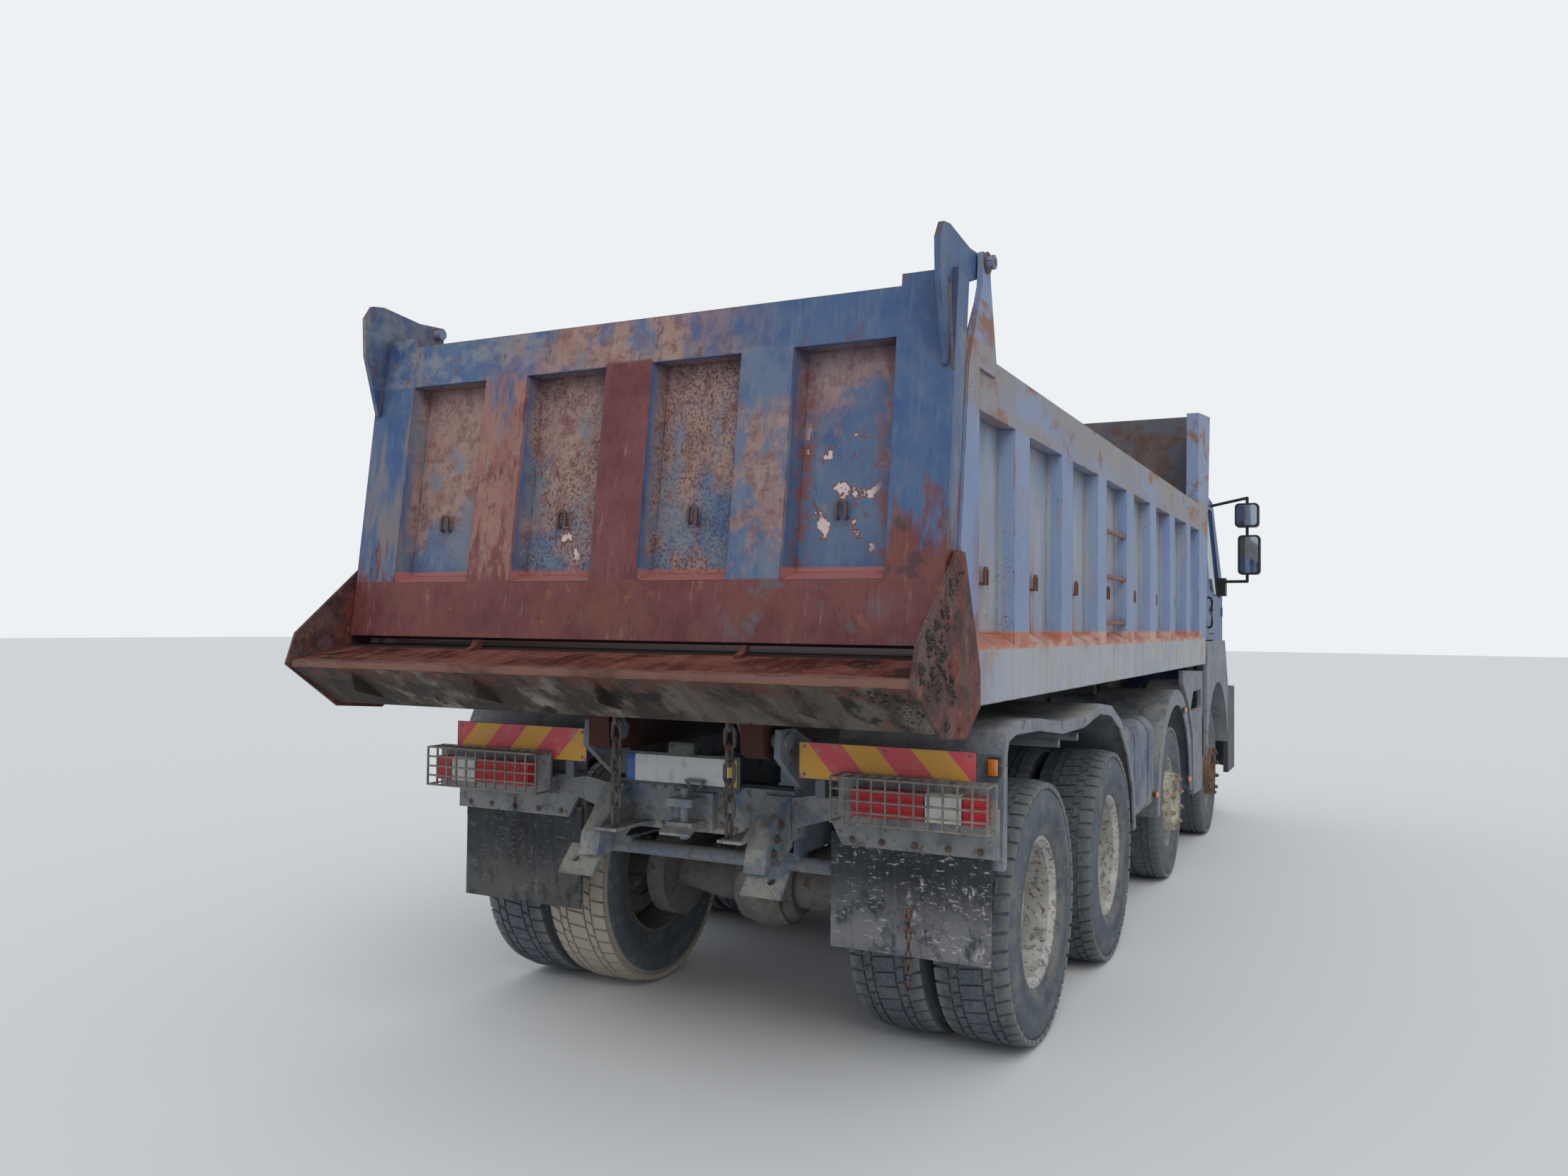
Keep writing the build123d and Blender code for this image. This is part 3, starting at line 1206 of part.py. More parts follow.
steer_x = dash_front_x - 520
steer_z = 2010
wheel_tilt = 30
rim = Torus(225, 16) + Cylinder(60, 40) + Box(420, 36, 18) + Pos(0, 0, -160) * Cylinder(32, 300)
steering = Pos(steer_x, seat_y, steer_z) * (Rot(0, -wheel_tilt, 0) * rim)
save("steering_wheel", steering - dashboard)

# Rear lamps in wire cages, marker boards and mudflaps
lamp_x = rear_axle_x - 850
tail_inner_y = 740
tail_outer_y = 1245
tail_low_z = 1000
tail_high_z = 1100
lamp_depth = 54
back_plate = 12
carrier_x = rear_axle_x - 700
carrier_plate = 20
carrier_low_z = 860
carrier_high_z = 1040
tail = limits(lamp_x, lamp_x + lamp_depth, tail_inner_y, tail_outer_y, tail_low_z, tail_high_z)
tail += limits(lamp_x + lamp_depth, lamp_x + lamp_depth + back_plate, 665, 1268, 965, 1145)
tail += limits(lamp_x + lamp_depth + back_plate, carrier_x, 700, 760, 960, 1030)
tail += limits(lamp_x + lamp_depth + back_plate, carrier_x, 1150, 1210, 960, 1030)
tail += end_prism(
    [(rail_outer_y, carrier_low_z + 40), (rail_outer_y, carrier_high_z - 20),
     (rail_outer_y + 115, carrier_high_z),
     (tail_outer_y, carrier_high_z), (tail_outer_y, carrier_low_z), (640, carrier_low_z),
     (590, carrier_low_z + 90)],
    carrier_x, carrier_x + carrier_plate)
tail += limits(carrier_x, rail_rear_x + 60, rail_outer_y, rail_outer_y + 20, carrier_low_z,
               carrier_low_z + 100)
save("tail_lamps", both(tail))

cage_back_x = rear_axle_x - 885
cage_wire = 3.5
cage_y0 = 672
cage_y1 = 1262
cage_z0 = 978
cage_z1 = 1140
cage_x0 = cage_back_x - cage_wire
cage_x1 = cage_back_x + cage_wire
cage_rows = 5
cage_columns = 12
wires = []
for row in range(cage_rows):
    z = cage_z0 + (cage_z1 - cage_z0) * row / (cage_rows - 1)
    wires.append(limits(cage_x0, cage_x1, cage_y0, cage_y1, z - cage_wire, z + cage_wire))
for column in range(cage_columns):
    y = cage_y0 + (cage_y1 - cage_y0) * column / (cage_columns - 1)
    wires.append(limits(cage_x0, cage_x1, y - cage_wire, y + cage_wire, cage_z0, cage_z1))
for y in (cage_y0, cage_y1):
    for z in (cage_z0, cage_z1):
        wires.append(limits(cage_x0, lamp_x + lamp_depth, y - cage_wire, y + cage_wire, z - cage_wire,
                            z + cage_wire))
for column in range(1, cage_columns - 1):
    y = cage_y0 + (cage_y1 - cage_y0) * column / (cage_columns - 1)
    wires.append(limits(cage_x0, lamp_x + lamp_depth, y - cage_wire, y + cage_wire, cage_z1 - cage_wire,
                        cage_z1 + cage_wire))
cage = wires[0]
for wire in wires[1:]:
    cage += wire
save("lamp_cages", both(cage))

board_x = rear_axle_x - 780
board_thickness = 4
board = limits(board_x, board_x + board_thickness, 491, 1191, 1110, 1250)
board += limits(board_x + board_thickness, board_x + 30, 560, 600, 1050, 1200)
board += limits(board_x + 10, carrier_x + carrier_plate, 560, 600, carrier_high_z, 1060)
save("marker_boards", both(board))

flap_x = carrier_x + carrier_plate
flap_thickness = 10
flap = limits(flap_x, flap_x + flap_thickness, 585, 1215, 470, 905)
save("mudflaps", both(flap))
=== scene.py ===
import math

import bpy
import bmesh
from mathutils import Matrix, Vector


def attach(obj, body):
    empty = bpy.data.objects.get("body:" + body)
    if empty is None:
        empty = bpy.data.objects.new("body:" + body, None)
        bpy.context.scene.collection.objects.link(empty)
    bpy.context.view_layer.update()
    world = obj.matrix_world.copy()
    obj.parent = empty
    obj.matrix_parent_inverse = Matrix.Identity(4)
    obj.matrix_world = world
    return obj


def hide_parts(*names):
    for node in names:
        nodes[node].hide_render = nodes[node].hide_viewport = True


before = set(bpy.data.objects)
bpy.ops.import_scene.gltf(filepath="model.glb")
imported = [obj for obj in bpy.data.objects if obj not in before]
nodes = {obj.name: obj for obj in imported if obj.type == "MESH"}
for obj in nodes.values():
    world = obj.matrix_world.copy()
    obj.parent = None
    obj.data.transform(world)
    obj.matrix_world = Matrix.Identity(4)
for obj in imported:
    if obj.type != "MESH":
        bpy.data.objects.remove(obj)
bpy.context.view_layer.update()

# Viewpoint and light
# The camera stands behind the right rear corner at eye height, as solved from the photograph.
# The light is soft and plain, so colours come out about as they are written.
eye = Vector((-7.538, -2.468, 1.693))
yaw = math.radians(26.7748)
pitch = math.radians(1.7527)
roll = math.radians(-0.6386)
focal_length_px = 1671.88
photo_width_px = 2212
sensor_mm = 36
ahead = Vector((math.cos(pitch) * math.cos(yaw), math.cos(pitch) * math.sin(yaw), math.sin(pitch)))
level_right = Vector((math.sin(yaw), -math.cos(yaw), 0))
level_up = level_right.cross(ahead)
right = math.cos(roll) * level_right - math.sin(roll) * level_up
up = math.sin(roll) * level_right + math.cos(roll) * level_up
camera_data = bpy.data.cameras.new("camera")
camera_data.sensor_fit = "HORIZONTAL"
camera_data.sensor_width = sensor_mm
camera_data.lens = focal_length_px * sensor_mm / photo_width_px
camera = bpy.data.objects.new("camera", camera_data)
camera.matrix_world = Matrix((
    (right.x, up.x, -ahead.x, eye.x),
    (right.y, up.y, -ahead.y, eye.y),
    (right.z, up.z, -ahead.z, eye.z),
    (0, 0, 0, 1)))
bpy.context.scene.collection.objects.link(camera)
bpy.context.scene.camera = camera
bpy.context.scene.view_settings.view_transform = "Standard"


def add(place, kind, sockets=None, **settings):
    """A node in the tree that holds place, with its settings. A value that is a socket becomes a link."""
    tree = place.id_data
    made = tree.nodes.new(kind)
    for key, value in settings.items():
        setattr(made, key, value)
    for key, value in (sockets or {}).items():
        if isinstance(value, bpy.types.NodeSocket):
            tree.links.new(value, made.inputs[key])
        else:
            made.inputs[key].default_value = value
    return made


def paint(code):
    """sRGB hex to linear RGBA."""
    parts = [int(code[i:i + 2], 16) / 255 for i in (1, 3, 5)]
    return tuple(p / 12.92 if p <= 0.04045 else ((p + 0.055) / 1.055) ** 2.4 for p in parts) + (1,)


world = bpy.data.worlds.new("plain_sky")
world.use_nodes = True
sky = world.node_tree
sky.nodes.clear()
path = add(sky, "ShaderNodeLightPath")
shown = add(sky, "ShaderNodeMath", {0: path.outputs["Is Camera Ray"], 1: path.outputs["Is Transmission Ray"]},
            operation="MAXIMUM")
sky_light = add(sky, "ShaderNodeBackground", {"Color": paint("#e6ebf2"), "Strength": 0.79})
sky_seen = add(sky, "ShaderNodeBackground", {"Color": paint("#eef1f4"), "Strength": 1.0})
sky_mix = add(sky, "ShaderNodeMixShader", {
    0: shown.outputs[0], 1: sky_light.outputs[0], 2: sky_seen.outputs[0]})
add(sky, "ShaderNodeOutputWorld", {"Surface": sky_mix.outputs[0]})
bpy.context.scene.world = world

lamp_data = bpy.data.lights.new("soft_sun", "SUN")
lamp_data.energy = 0.8
lamp_data.angle = math.radians(35)
lamp_data.color = (1.0, 0.98, 0.95)
lamp = bpy.data.objects.new("soft_sun", lamp_data)
lamp.rotation_euler = (math.radians(38), math.radians(-22), math.radians(-30))
bpy.context.scene.collection.objects.link(lamp)

ground_half_m = 90
ground_mesh = bpy.data.meshes.new("ground")
ground_mesh.from_pydata([(ground_half_m * x, ground_half_m * y, 0) for x, y in (
    (-1, -1), (1, -1), (1, 1), (-1, 1))], [], [(0, 1, 2, 3)])
ground = bpy.data.objects.new("ground", ground_mesh)
bpy.context.scene.collection.objects.link(ground)
ground_finish = bpy.data.materials.new("pale_studio_floor")
ground_finish.use_nodes = True
ground_shader = ground_finish.node_tree.nodes["Principled BSDF"]
ground_shader.inputs["Base Color"].default_value = paint("#e3e4e4")
ground_shader.inputs["Roughness"].default_value = 0.9
ground.data.materials.append(ground_finish)

# Side walls of the tipping body
# Pressed steel walls with hat ribs, painted pale steel blue over red primer and long out in the weather.
# The ledges under the recesses and the top rails have lost their paint; rust runs down below each rope hook.


def finish(name, metallic=0.0, roughness=0.6):
    """A new material with its shader and the object's own coordinates, in metres."""
    made = bpy.data.materials.new(name)
    made.use_nodes = True
    shader = made.node_tree.nodes["Principled BSDF"]
    shader.inputs["Metallic"].default_value = metallic
    shader.inputs["Roughness"].default_value = roughness
    return made, shader, add(shader, "ShaderNodeTexCoord").outputs["Object"]


def blotches(where, size, low, high, seed=0, long=1, wide=1, tall=1, detail=5, rough=0.6, ragged=None):
    """Patches about size metres across, from 0 to 1, drawn out along X, Y or Z. Ragged ones are finer."""
    if ragged:
        detail, rough = 8, ragged
    place = add(where, "ShaderNodeMapping", {
        "Vector": where, "Location": (seed, seed * 1.7, seed * 0.6),
        "Scale": tuple(1 / (size * drawn) for drawn in (long, wide, tall))})
    grain = add(where, "ShaderNodeTexNoise", {
        "Vector": place.outputs[0], "Scale": 1.0, "Detail": detail, "Roughness": rough})
    return add(where, "ShaderNodeMapRange",
               {"Value": grain.outputs["Fac"], "From Min": low, "From Max": high},
               interpolation_type="SMOOTHSTEP").outputs[0]


def times(*masks):
    """All masks together."""
    result = masks[0]
    for mask in masks[1:]:
        result = add(result, "ShaderNodeMath", {0: result, 1: mask}, operation="MULTIPLY").outputs[0]
    return result


def either(*masks):
    """The strongest of several masks."""
    result = masks[0]
    for mask in masks[1:]:
        result = add(result, "ShaderNodeMath", {0: result, 1: mask}, operation="MAXIMUM").outputs[0]
    return result


def between(value, low, high, soft=0.01):
    """1 where value lies between low and high, with soft edges."""
    ramps = [add(value, "ShaderNodeMapRange", {"Value": value, "From Min": outside, "From Max": within})
             for outside, within in ((low - soft, low + soft), (high + soft, high - soft))]
    return times(*[ramp.outputs[0] for ramp in ramps])


def coats(under, layers):
    """Coats of colour over each other, each as (mask, colour) or (mask, colour, strength)."""
    result = paint(under) if isinstance(under, str) else under
    for mask, colour, *strength in layers:
        colour = paint(colour) if isinstance(colour, str) else colour
        result = add(mask, "ShaderNodeMix", {0: times(mask, *strength), 6: result, 7: colour},
                     data_type="RGBA").outputs[2]
    return result


def painted(shader, under, layers):
    """Coats of colour on the shader."""
    shader.id_data.links.new(coats(under, layers), shader.inputs["Base Color"])


def relief(shader, height, depth):
    """Bump of that many metres."""
    bump = add(shader, "ShaderNodeBump", {"Height": height, "Distance": depth, "Strength": 1.0})
    shader.id_data.links.new(bump.outputs[0], shader.inputs["Normal"])


def worn_edges(shader, radius):
    """1 along the edges of the sheet, where paint goes first."""
    rounded = add(shader, "ShaderNodeBevel", {"Radius": radius}, samples=4)
    flat = add(shader, "ShaderNodeNewGeometry").outputs["True Normal"]
    match = add(shader, "ShaderNodeVectorMath", {0: rounded.outputs[0], 1: flat}, operation="DOT_PRODUCT")
    return add(shader, "ShaderNodeMapRange", {
        "Value": match.outputs["Value"], "From Min": 0.985, "From Max": 0.90}).outputs[0]


def corners(shader, reach):
    """1 in corners and under ledges of the same piece, where shade falls; it masks painted shade."""
    openness = add(shader, "ShaderNodeAmbientOcclusion", {"Distance": reach}, samples=4, only_local=True)
    return add(shader, "ShaderNodeMapRange", {
        "Value": openness.outputs["AO"], "From Min": 0.82, "From Max": 0.25}).outputs[0]


def upward(shader):
    """The upward part of the surface's direction, from -1 to 1."""
    surface = add(shader, "ShaderNodeNewGeometry")
    return add(shader, "ShaderNodeSeparateXYZ", {0: surface.outputs["Normal"]}).outputs[2]


def off_row(value, first, pitch):
    """Distance from the nearest of a row of places, each a pitch from the next."""
    start = add(value, "ShaderNodeMath", {0: value, 1: first}, operation="SUBTRACT").outputs[0]
    wrap = add(value, "ShaderNodeMath", {0: start, 1: pitch / 2, 2: -pitch / 2}, operation="WRAP")
    return add(value, "ShaderNodeMath", {0: wrap.outputs[0]}, operation="ABSOLUTE").outputs[0]


def wear(names, material):
    """Dresses CAD nodes in a material."""
    for name in names:
        nodes[name].data.materials.clear()
        nodes[name].data.materials.append(material)


def scoured(where):
    """Bare plate ground by stone: brown film of rust, with long pale scratches the way the load slides."""
    film = blotches(where, 0.3, 0.32, 0.62, seed=5, long=3, ragged=0.66)
    scratches = blotches(where, 0.014, 0.5, 0.68, seed=12, long=18, wide=6, tall=6, ragged=0.6)
    flakes = blotches(where, 0.05, 0.56, 0.64, seed=9, long=3, ragged=0.7)
    return coats("#67625f", [
        (blotches(where, 0.6, 0.35, 0.65, seed=2, long=3), "#716259"), (film, "#5f4135", 0.85),
        (flakes, "#75472f", 0.7), (scratches, "#857d76", 0.45)])


side_finish, shader, where = finish("weathered_pale_blue_enamel", roughness=0.55)
x, y, z = add(where, "ShaderNodeSeparateXYZ", {0: where}).outputs
across = add(y, "ShaderNodeMath", {0: y}, operation="ABSOLUTE").outputs[0]
in_recess = times(between(across, 1.15, 1.205, 0.004), between(z, 1.66, 2.44, 0.01))
fade = blotches(where, 0.8, 0.3, 0.7, seed=3)
bleached = blotches(where, 0.16, 0.42, 0.66, tall=3, seed=15)
thin_runs = blotches(where, 0.016, 0.56, 0.72, tall=24, seed=1)
dark_runs = blotches(where, 0.011, 0.62, 0.74, tall=34, seed=41)
wide_runs = blotches(where, 0.09, 0.5, 0.74, tall=7, seed=7)
pits = blotches(where, 0.010, 0.6, 0.68, seed=2, detail=3)
spots = times(pits, blotches(where, 0.3, 0.48, 0.66, seed=9))
first_hook_x = -2.759
hook_pitch = 0.722
inner_face_y = 1.167
first_rung_z = 1.72
rung_pitch = 0.23
hook_off = off_row(x, first_hook_x, hook_pitch)
hook_stain = times(between(hook_off, -1, 0.075, 0.05), between(z, 1.60, 1.95, 0.08),
                   blotches(where, 0.05, 0.36, 0.62, tall=6, seed=24))
hook_run = times(between(hook_off, -1, 0.03, 0.02), between(z, 1.63, 1.86, 0.05),
                 blotches(where, 0.02, 0.38, 0.56, tall=12, seed=4))
hook_bar = times(between(across, 1.189, 1.215, 0.001), between(z, 1.838, 1.91, 0.001),
                 between(hook_off, -1, 0.07, 0.001))
# Painted shade: the corners and the undersides of ledges are darkened, as shade falls there.
painted_corner_shade = times(corners(shader, 0.11), between(z, 1.68, 3.4, 0.02), 0.8)
rungs = times(between(off_row(z, first_rung_z, rung_pitch), -1, 0.0125, 0.0005),
              between(across, 1.222, 1.2485, 0.0005), between(x, -1.572, -1.058, 0.0005),
              between(y, -2, 0, 0.1), between(z, 1.65, 2.25, 0.01))
# Painted shade: the top of each recess, just under the rail, is darkened in patches.
painted_shade_under_rail = times(in_recess, between(z, 2.32, 2.6, 0.10), blotches(where, 0.12, 0.3, 0.6, tall=2, seed=63))
ledge = times(between(z, 1.612, 1.674, 0.005), between(x, -3.7, 1.9, 0.02))
ledge_rust = times(ledge, blotches(where, 0.10, 0.42, 0.56, long=2, seed=5))
sill = between(z, 1.40, 1.62, 0.01)
sill_grey = times(sill, blotches(where, 0.4, 0.2, 0.5, long=2, seed=33))
rail = between(z, 2.43, 2.66, 0.01)
rail_grey = times(rail, blotches(where, 0.2, 0.28, 0.54, long=3, seed=35, ragged=0.6))
rail_rust = times(between(z, 2.40, 3.4, 0.05), blotches(where, 0.13, 0.53, 0.66, long=2, seed=6))
low_rust = times(between(z, 1.40, 1.60, 0.06), blotches(where, 0.11, 0.54, 0.70, tall=3, seed=8))
post_rust = times(between(x, -4.1, -3.60, 0.12), between(z, 1.4, 1.95, 0.25),
                  blotches(where, 0.16, 0.42, 0.62, tall=3, seed=12))
top_rust = times(between(upward(shader), 0.5, 1.5, 0.1), between(z, 2.5, 3.4, 0.01),
                 blotches(where, 0.2, 0.3, 0.5, seed=26))
edges = times(worn_edges(shader, 0.008), blotches(where, 0.09, 0.46, 0.58, seed=51))
inside = times(between(across, -1, inner_face_y, 0.0005), between(z, 1.5, 2.9, 0.01),
               either(between(z, 1.5, 2.15, 0.25),
                      blotches(where, 0.4, 0.38, 0.6, long=2, seed=73, ragged=0.68)))
painted(shader, "#748ab1", [
    (fade, "#8898b2", 0.75), (times(in_recess, bleached), "#a6aaad", 0.8), (in_recess, "#9fa4a9", 0.4),
    (sill_grey, "#a3a8ad"), (rail_grey, "#8d898c"), (painted_shade_under_rail, "#5d6b80", 0.55),
    (painted_corner_shade, "#47546b"), (wide_runs, "#a0968a", 0.65), (thin_runs, "#97775f", 0.6),
    (rail_rust, "#89604b"), (low_rust, "#a17a58"), (post_rust, "#854a3a"), (ledge, "#c09a8b"),
    (ledge_rust, "#b06a50"), (hook_stain, "#a07b5e", 0.7), (hook_run, "#8a4c30"),
    (dark_runs, "#4d4f57", 0.55), (spots, "#6b4030"), (edges, "#74483a"), (top_rust, "#744c3c"),
    (hook_bar, "#6b4232"), (rungs, "#7a4a3b"), (inside, scoured(where))])
relief(shader, either(spots, ledge_rust), -0.0008)
wear(["bed_side_left", "bed_side_right"], side_finish)

# Floor and headboard of the tipping body
# Thick wear plate, scoured by years of loads: the blue paint is left only in patches on the headboard.
scoured_finish, shader, where = finish("scoured_load_plate", roughness=0.75)
shader.inputs["Specular IOR Level"].default_value = 0.25
x, y, z = add(where, "ShaderNodeSeparateXYZ", {0: where}).outputs
high = times(between(z, 2.35, 4.0, 0.3), blotches(where, 0.3, 0.42, 0.6, seed=1, ragged=0.6))
painted(shader, scoured(where), [
    (high, "#5d6674", 0.7), (times(between(z, 1.2, 1.585, 0.01), blotches(where, 0.3, 0.2, 0.5)), "#4f5560"),
    (between(x, -4.2, -3.1, 0.3), "#4a2d27")])
relief(shader, blotches(where, 0.2, 0.5, 0.62, seed=5), -0.001)
wear(["bed_floor", "headboard"], scoured_finish)

# Tailgate
# One pressed steel gate with three hat ribs between two box columns. Deep blue enamel is left on the top rail
# and the columns; red oxide shows on the ribs and the bottom rail, and rust pits the panels in the recesses.
gate_finish, shader, where = finish("weathered_deep_blue_enamel", roughness=0.5)
x, y, z = add(where, "ShaderNodeSeparateXYZ", {0: where}).outputs
column_y = 1.05
gate_end_y = 1.4
rib_inner_y = 0.466
rib_outer_y = 0.68
gate_slope = 0.115
gate_foot_x = -4.046
gate_foot_z = 1.63
face_x = add(where, "ShaderNodeMath", {0: z, 1: gate_slope, 2: gate_foot_x - gate_slope * gate_foot_z},
             operation="MULTIPLY_ADD")
depth = add(where, "ShaderNodeMath", {0: x, 1: face_x.outputs[0]}, operation="SUBTRACT").outputs[0]
ragged = blotches(where, 0.07, 0.25, 0.75, tall=4, seed=3, ragged=0.7)
ragged_z = add(where, "ShaderNodeMath", {0: ragged, 1: 0.45, 2: z}, operation="MULTIPLY_ADD").outputs[0]
height_share = add(where, "ShaderNodeMapRange", {"Value": z, "From Min": 1.85, "From Max": 2.65}).outputs[0]
in_recess = times(between(depth, 0.03, 0.12, 0.02), between(z, 1.86, 2.66, 0.01))
recess_4 = times(in_recess, between(y, -1.06, -0.66, 0.01))
recess_rest = times(in_recess, between(y, -0.60, 1.06, 0.01))
bottom_rail = between(z, 1.5, 1.845, 0.004)
top_rail = between(z, 2.642, 3.0, 0.004)
low_left = times(between(y, column_y, gate_end_y, 0.003), between(ragged_z, 1.4, 2.16, 0.05))
low_right = times(between(y, -gate_end_y, -column_y, 0.003), between(ragged_z, 1.4, 2.24, 0.07))
on_rib_left = between(y, rib_inner_y, rib_outer_y, 0.003)
on_rib_right = between(y, -rib_outer_y, -rib_inner_y, 0.003)
bare_patches = blotches(where, 0.16, 0.53, 0.60, tall=1.5, seed=64, ragged=0.68)
rib_left = times(on_rib_left, either(between(ragged_z, 1.4, 2.16, 0.06), bare_patches))
rib_middle = between(y, -0.102, 0.102, 0.003)
on_face = times(between(depth, -0.02, 0.012, 0.006), between(z, 1.84, 2.655, 0.006))
ribs = times(on_face, either(times(rib_left, between(ragged_z, 1.4, 2.66, 0.10)), rib_middle))
pale_left = times(on_face, on_rib_left, between(ragged_z, 1.4, 2.86, 0.10))
pale_right = times(on_face, on_rib_right, between(ragged_z, 1.4, 2.66, 0.12), 0.85,
                   blotches(where, 0.13, 0.45, 0.56, tall=1.6, seed=66, ragged=0.7))
grey_right = times(on_face, on_rib_right, 0.6,
                   blotches(where, 0.2, 0.36, 0.56, tall=1.6, seed=67, ragged=0.7))
ledges = times(between(z, 1.838, 1.884, 0.004), between(depth, 0.004, 0.08, 0.003))
streaks = blotches(where, 0.022, 0.5, 0.72, tall=12, seed=2)
fine_streaks = blotches(where, 0.009, 0.56, 0.70, tall=22, seed=16)
pits = blotches(where, 0.011, 0.52, 0.60, seed=5, detail=6, rough=0.7)
dust = blotches(where, 0.006, 0.56, 0.66, seed=45, detail=4)
clouds = blotches(where, 0.12, 0.38, 0.64, seed=19, ragged=0.68)

blue = coats("#315180", [
    (blotches(where, 0.4, 0.38, 0.7, tall=2, seed=11), "#476086"), (clouds, "#5d7189", 0.45),
    (streaks, "#6f7f90", 0.35), (fine_streaks, "#2c4266", 0.4)])
brown = coats("#95736b", [
    (clouds, "#a08478"), (blotches(where, 0.05, 0.46, 0.6, seed=29, ragged=0.7), "#7f5853"),
    (streaks, "#a28a7c", 0.5), (fine_streaks, "#6a4642", 0.7)])
salmon = coats("#8d5d55", [(clouds, "#997064"), (streaks, "#877f7e", 0.6), (fine_streaks, "#6a3e40")])
oxide = coats("#6f373a", [
    (streaks, "#82473f"), (blotches(where, 0.25, 0.42, 0.62, seed=6), "#61292d"), (clouds, "#7c4a48", 0.5),
    (fine_streaks, "#50262a"), (blotches(where, 0.03, 0.6, 0.7, tall=7, seed=61), "#8f6c60", 0.7)])
rail_oxide = coats(oxide, [
    (blotches(where, 0.3, 0.45, 0.62, seed=9, ragged=0.7), "#744237"),
    (blotches(where, 0.06, 0.6, 0.72, seed=4), "#84503a"),
    (times(between(y, -1.0, -0.45, 0.2), blotches(where, 0.12, 0.52, 0.62, seed=71, ragged=0.7)), "#5d5c60")])

top_brown = times(top_rail, between(y, -0.42, 0.52, 0.22),
                  blotches(where, 0.12, 0.36, 0.56, tall=2, seed=14, ragged=0.66))
top_grey = times(top_rail, between(y, 0.1, 1.4, 0.3),
                 blotches(where, 0.10, 0.42, 0.62, long=1.4, wide=1.4, seed=18, ragged=0.66))
top_marks = times(top_rail, blotches(where, 0.045, 0.6, 0.66, tall=2, seed=23))
drawn_down = add(where, "ShaderNodeMapping", {
    "Vector": where, "Location": (5.0, 2.0, 1.0), "Scale": (5.0, 5.0, 3.2)})
lowered = add(where, "ShaderNodeTexNoise", {
    "Vector": drawn_down.outputs[0], "Scale": 1.0, "Detail": 8.0, "Roughness": 0.62}).outputs["Fac"]
cover = add(where, "ShaderNodeMath", {0: height_share, 1: 0.30, 2: lowered},
            operation="MULTIPLY_ADD").outputs[0]
rest_brown = times(recess_rest, between(cover, 0.57, 9, 0.05))
last_brown = times(recess_4, between(cover, 0.71, 9, 0.05))
edge_brown = times(recess_4, either(between(y, -1.03, -0.985, 0.02), between(y, -0.74, -0.69, 0.015)),
                   blotches(where, 0.06, 0.44, 0.56, seed=81, ragged=0.7))
heavy_pits = times(in_recess, pits, between(y, -0.50, 0.47, 0.02), blotches(where, 0.3, 0.32, 0.55, seed=8))
light_pits = times(in_recess, pits, blotches(where, 0.12, 0.50, 0.62, seed=28))
grey_panel = times(in_recess, blotches(where, 0.2, 0.36, 0.6, seed=17, ragged=0.66))
mottled = times(in_recess, between(z, 1.8, 2.5, 0.12), 0.7,
                blotches(where, 0.15, 0.50, 0.60, tall=1.5, seed=91, ragged=0.7))
chip_noise = blotches(where, 0.075, 0.60, 0.61, seed=27, detail=5)
chip_zone = either(times(between(y, -0.98, -0.72, 0.02), between(z, 1.93, 2.36, 0.03)),
                   times(between(y, 0.20, 0.36, 0.02), between(z, 1.92, 2.06, 0.02)))
chips = times(in_recess, chip_zone, chip_noise)
chip_halo = times(in_recess, chip_zone, blotches(where, 0.075, 0.55, 0.585, seed=27, detail=5))
left_column = times(between(y, 0.96, 1.3, 0.02),
                    blotches(where, 0.06, 0.46, 0.62, tall=6, seed=31, ragged=0.6))
gate_hook_pitch = 0.5746
hook_off = off_row(y, gate_hook_pitch / 2, gate_hook_pitch)
hook_bar = times(between(z, 2.05, 2.13, 0.001), between(depth, 0.03, 0.066, 0.001),
                 between(hook_off, -1, 0.035, 0.001))
grime = times(either(low_left, low_right), blotches(where, 0.08, 0.5, 0.62, seed=37, ragged=0.6))
edges = times(worn_edges(shader, 0.007), blotches(where, 0.07, 0.40, 0.52, seed=51))
# Painted shade: the gate's corners and the undersides of its ledges are darkened, as shade falls there.
painted_corner_shade = times(corners(shader, 0.12), between(z, 1.87, 2.9, 0.02), 0.75)
top_line = times(between(upward(shader), 0.5, 1.5, 0.1), between(z, 2.6, 3.0, 0.01))
painted(shader, blue, [
    (left_column, "#7f7370", 0.8), (top_grey, "#83868c", 0.8), (top_brown, brown),
    (top_marks, "#6d4a45", 0.8), (grey_panel, "#707c88", 0.75), (rest_brown, brown), (heavy_pits, "#6b3d3a"),
    (light_pits, "#69453f", 0.8), (times(in_recess, dust), "#a8968d", 0.45), (mottled, "#6e7b8b"),
    (recess_4, blue, 0.6), (last_brown, brown, 0.8), (edge_brown, "#7d4c44"), (painted_corner_shade, "#26324a"),
    (pale_left, salmon), (grey_right, "#707a88"), (pale_right, brown), (ribs, oxide), (low_left, rail_oxide),
    (low_right, rail_oxide), (grime, "#3b3034", 0.7), (bottom_rail, rail_oxide), (chip_halo, "#74443f"),
    (chips, "#cdbdb8"), (ledges, "#a9645a", 0.85), (edges, "#552a29"), (top_line, "#5e2f2b"),
    (hook_bar, "#5c4743")])
relief(shader, either(heavy_pits, chips), -0.001)
wear(["tailgate"], gate_finish)

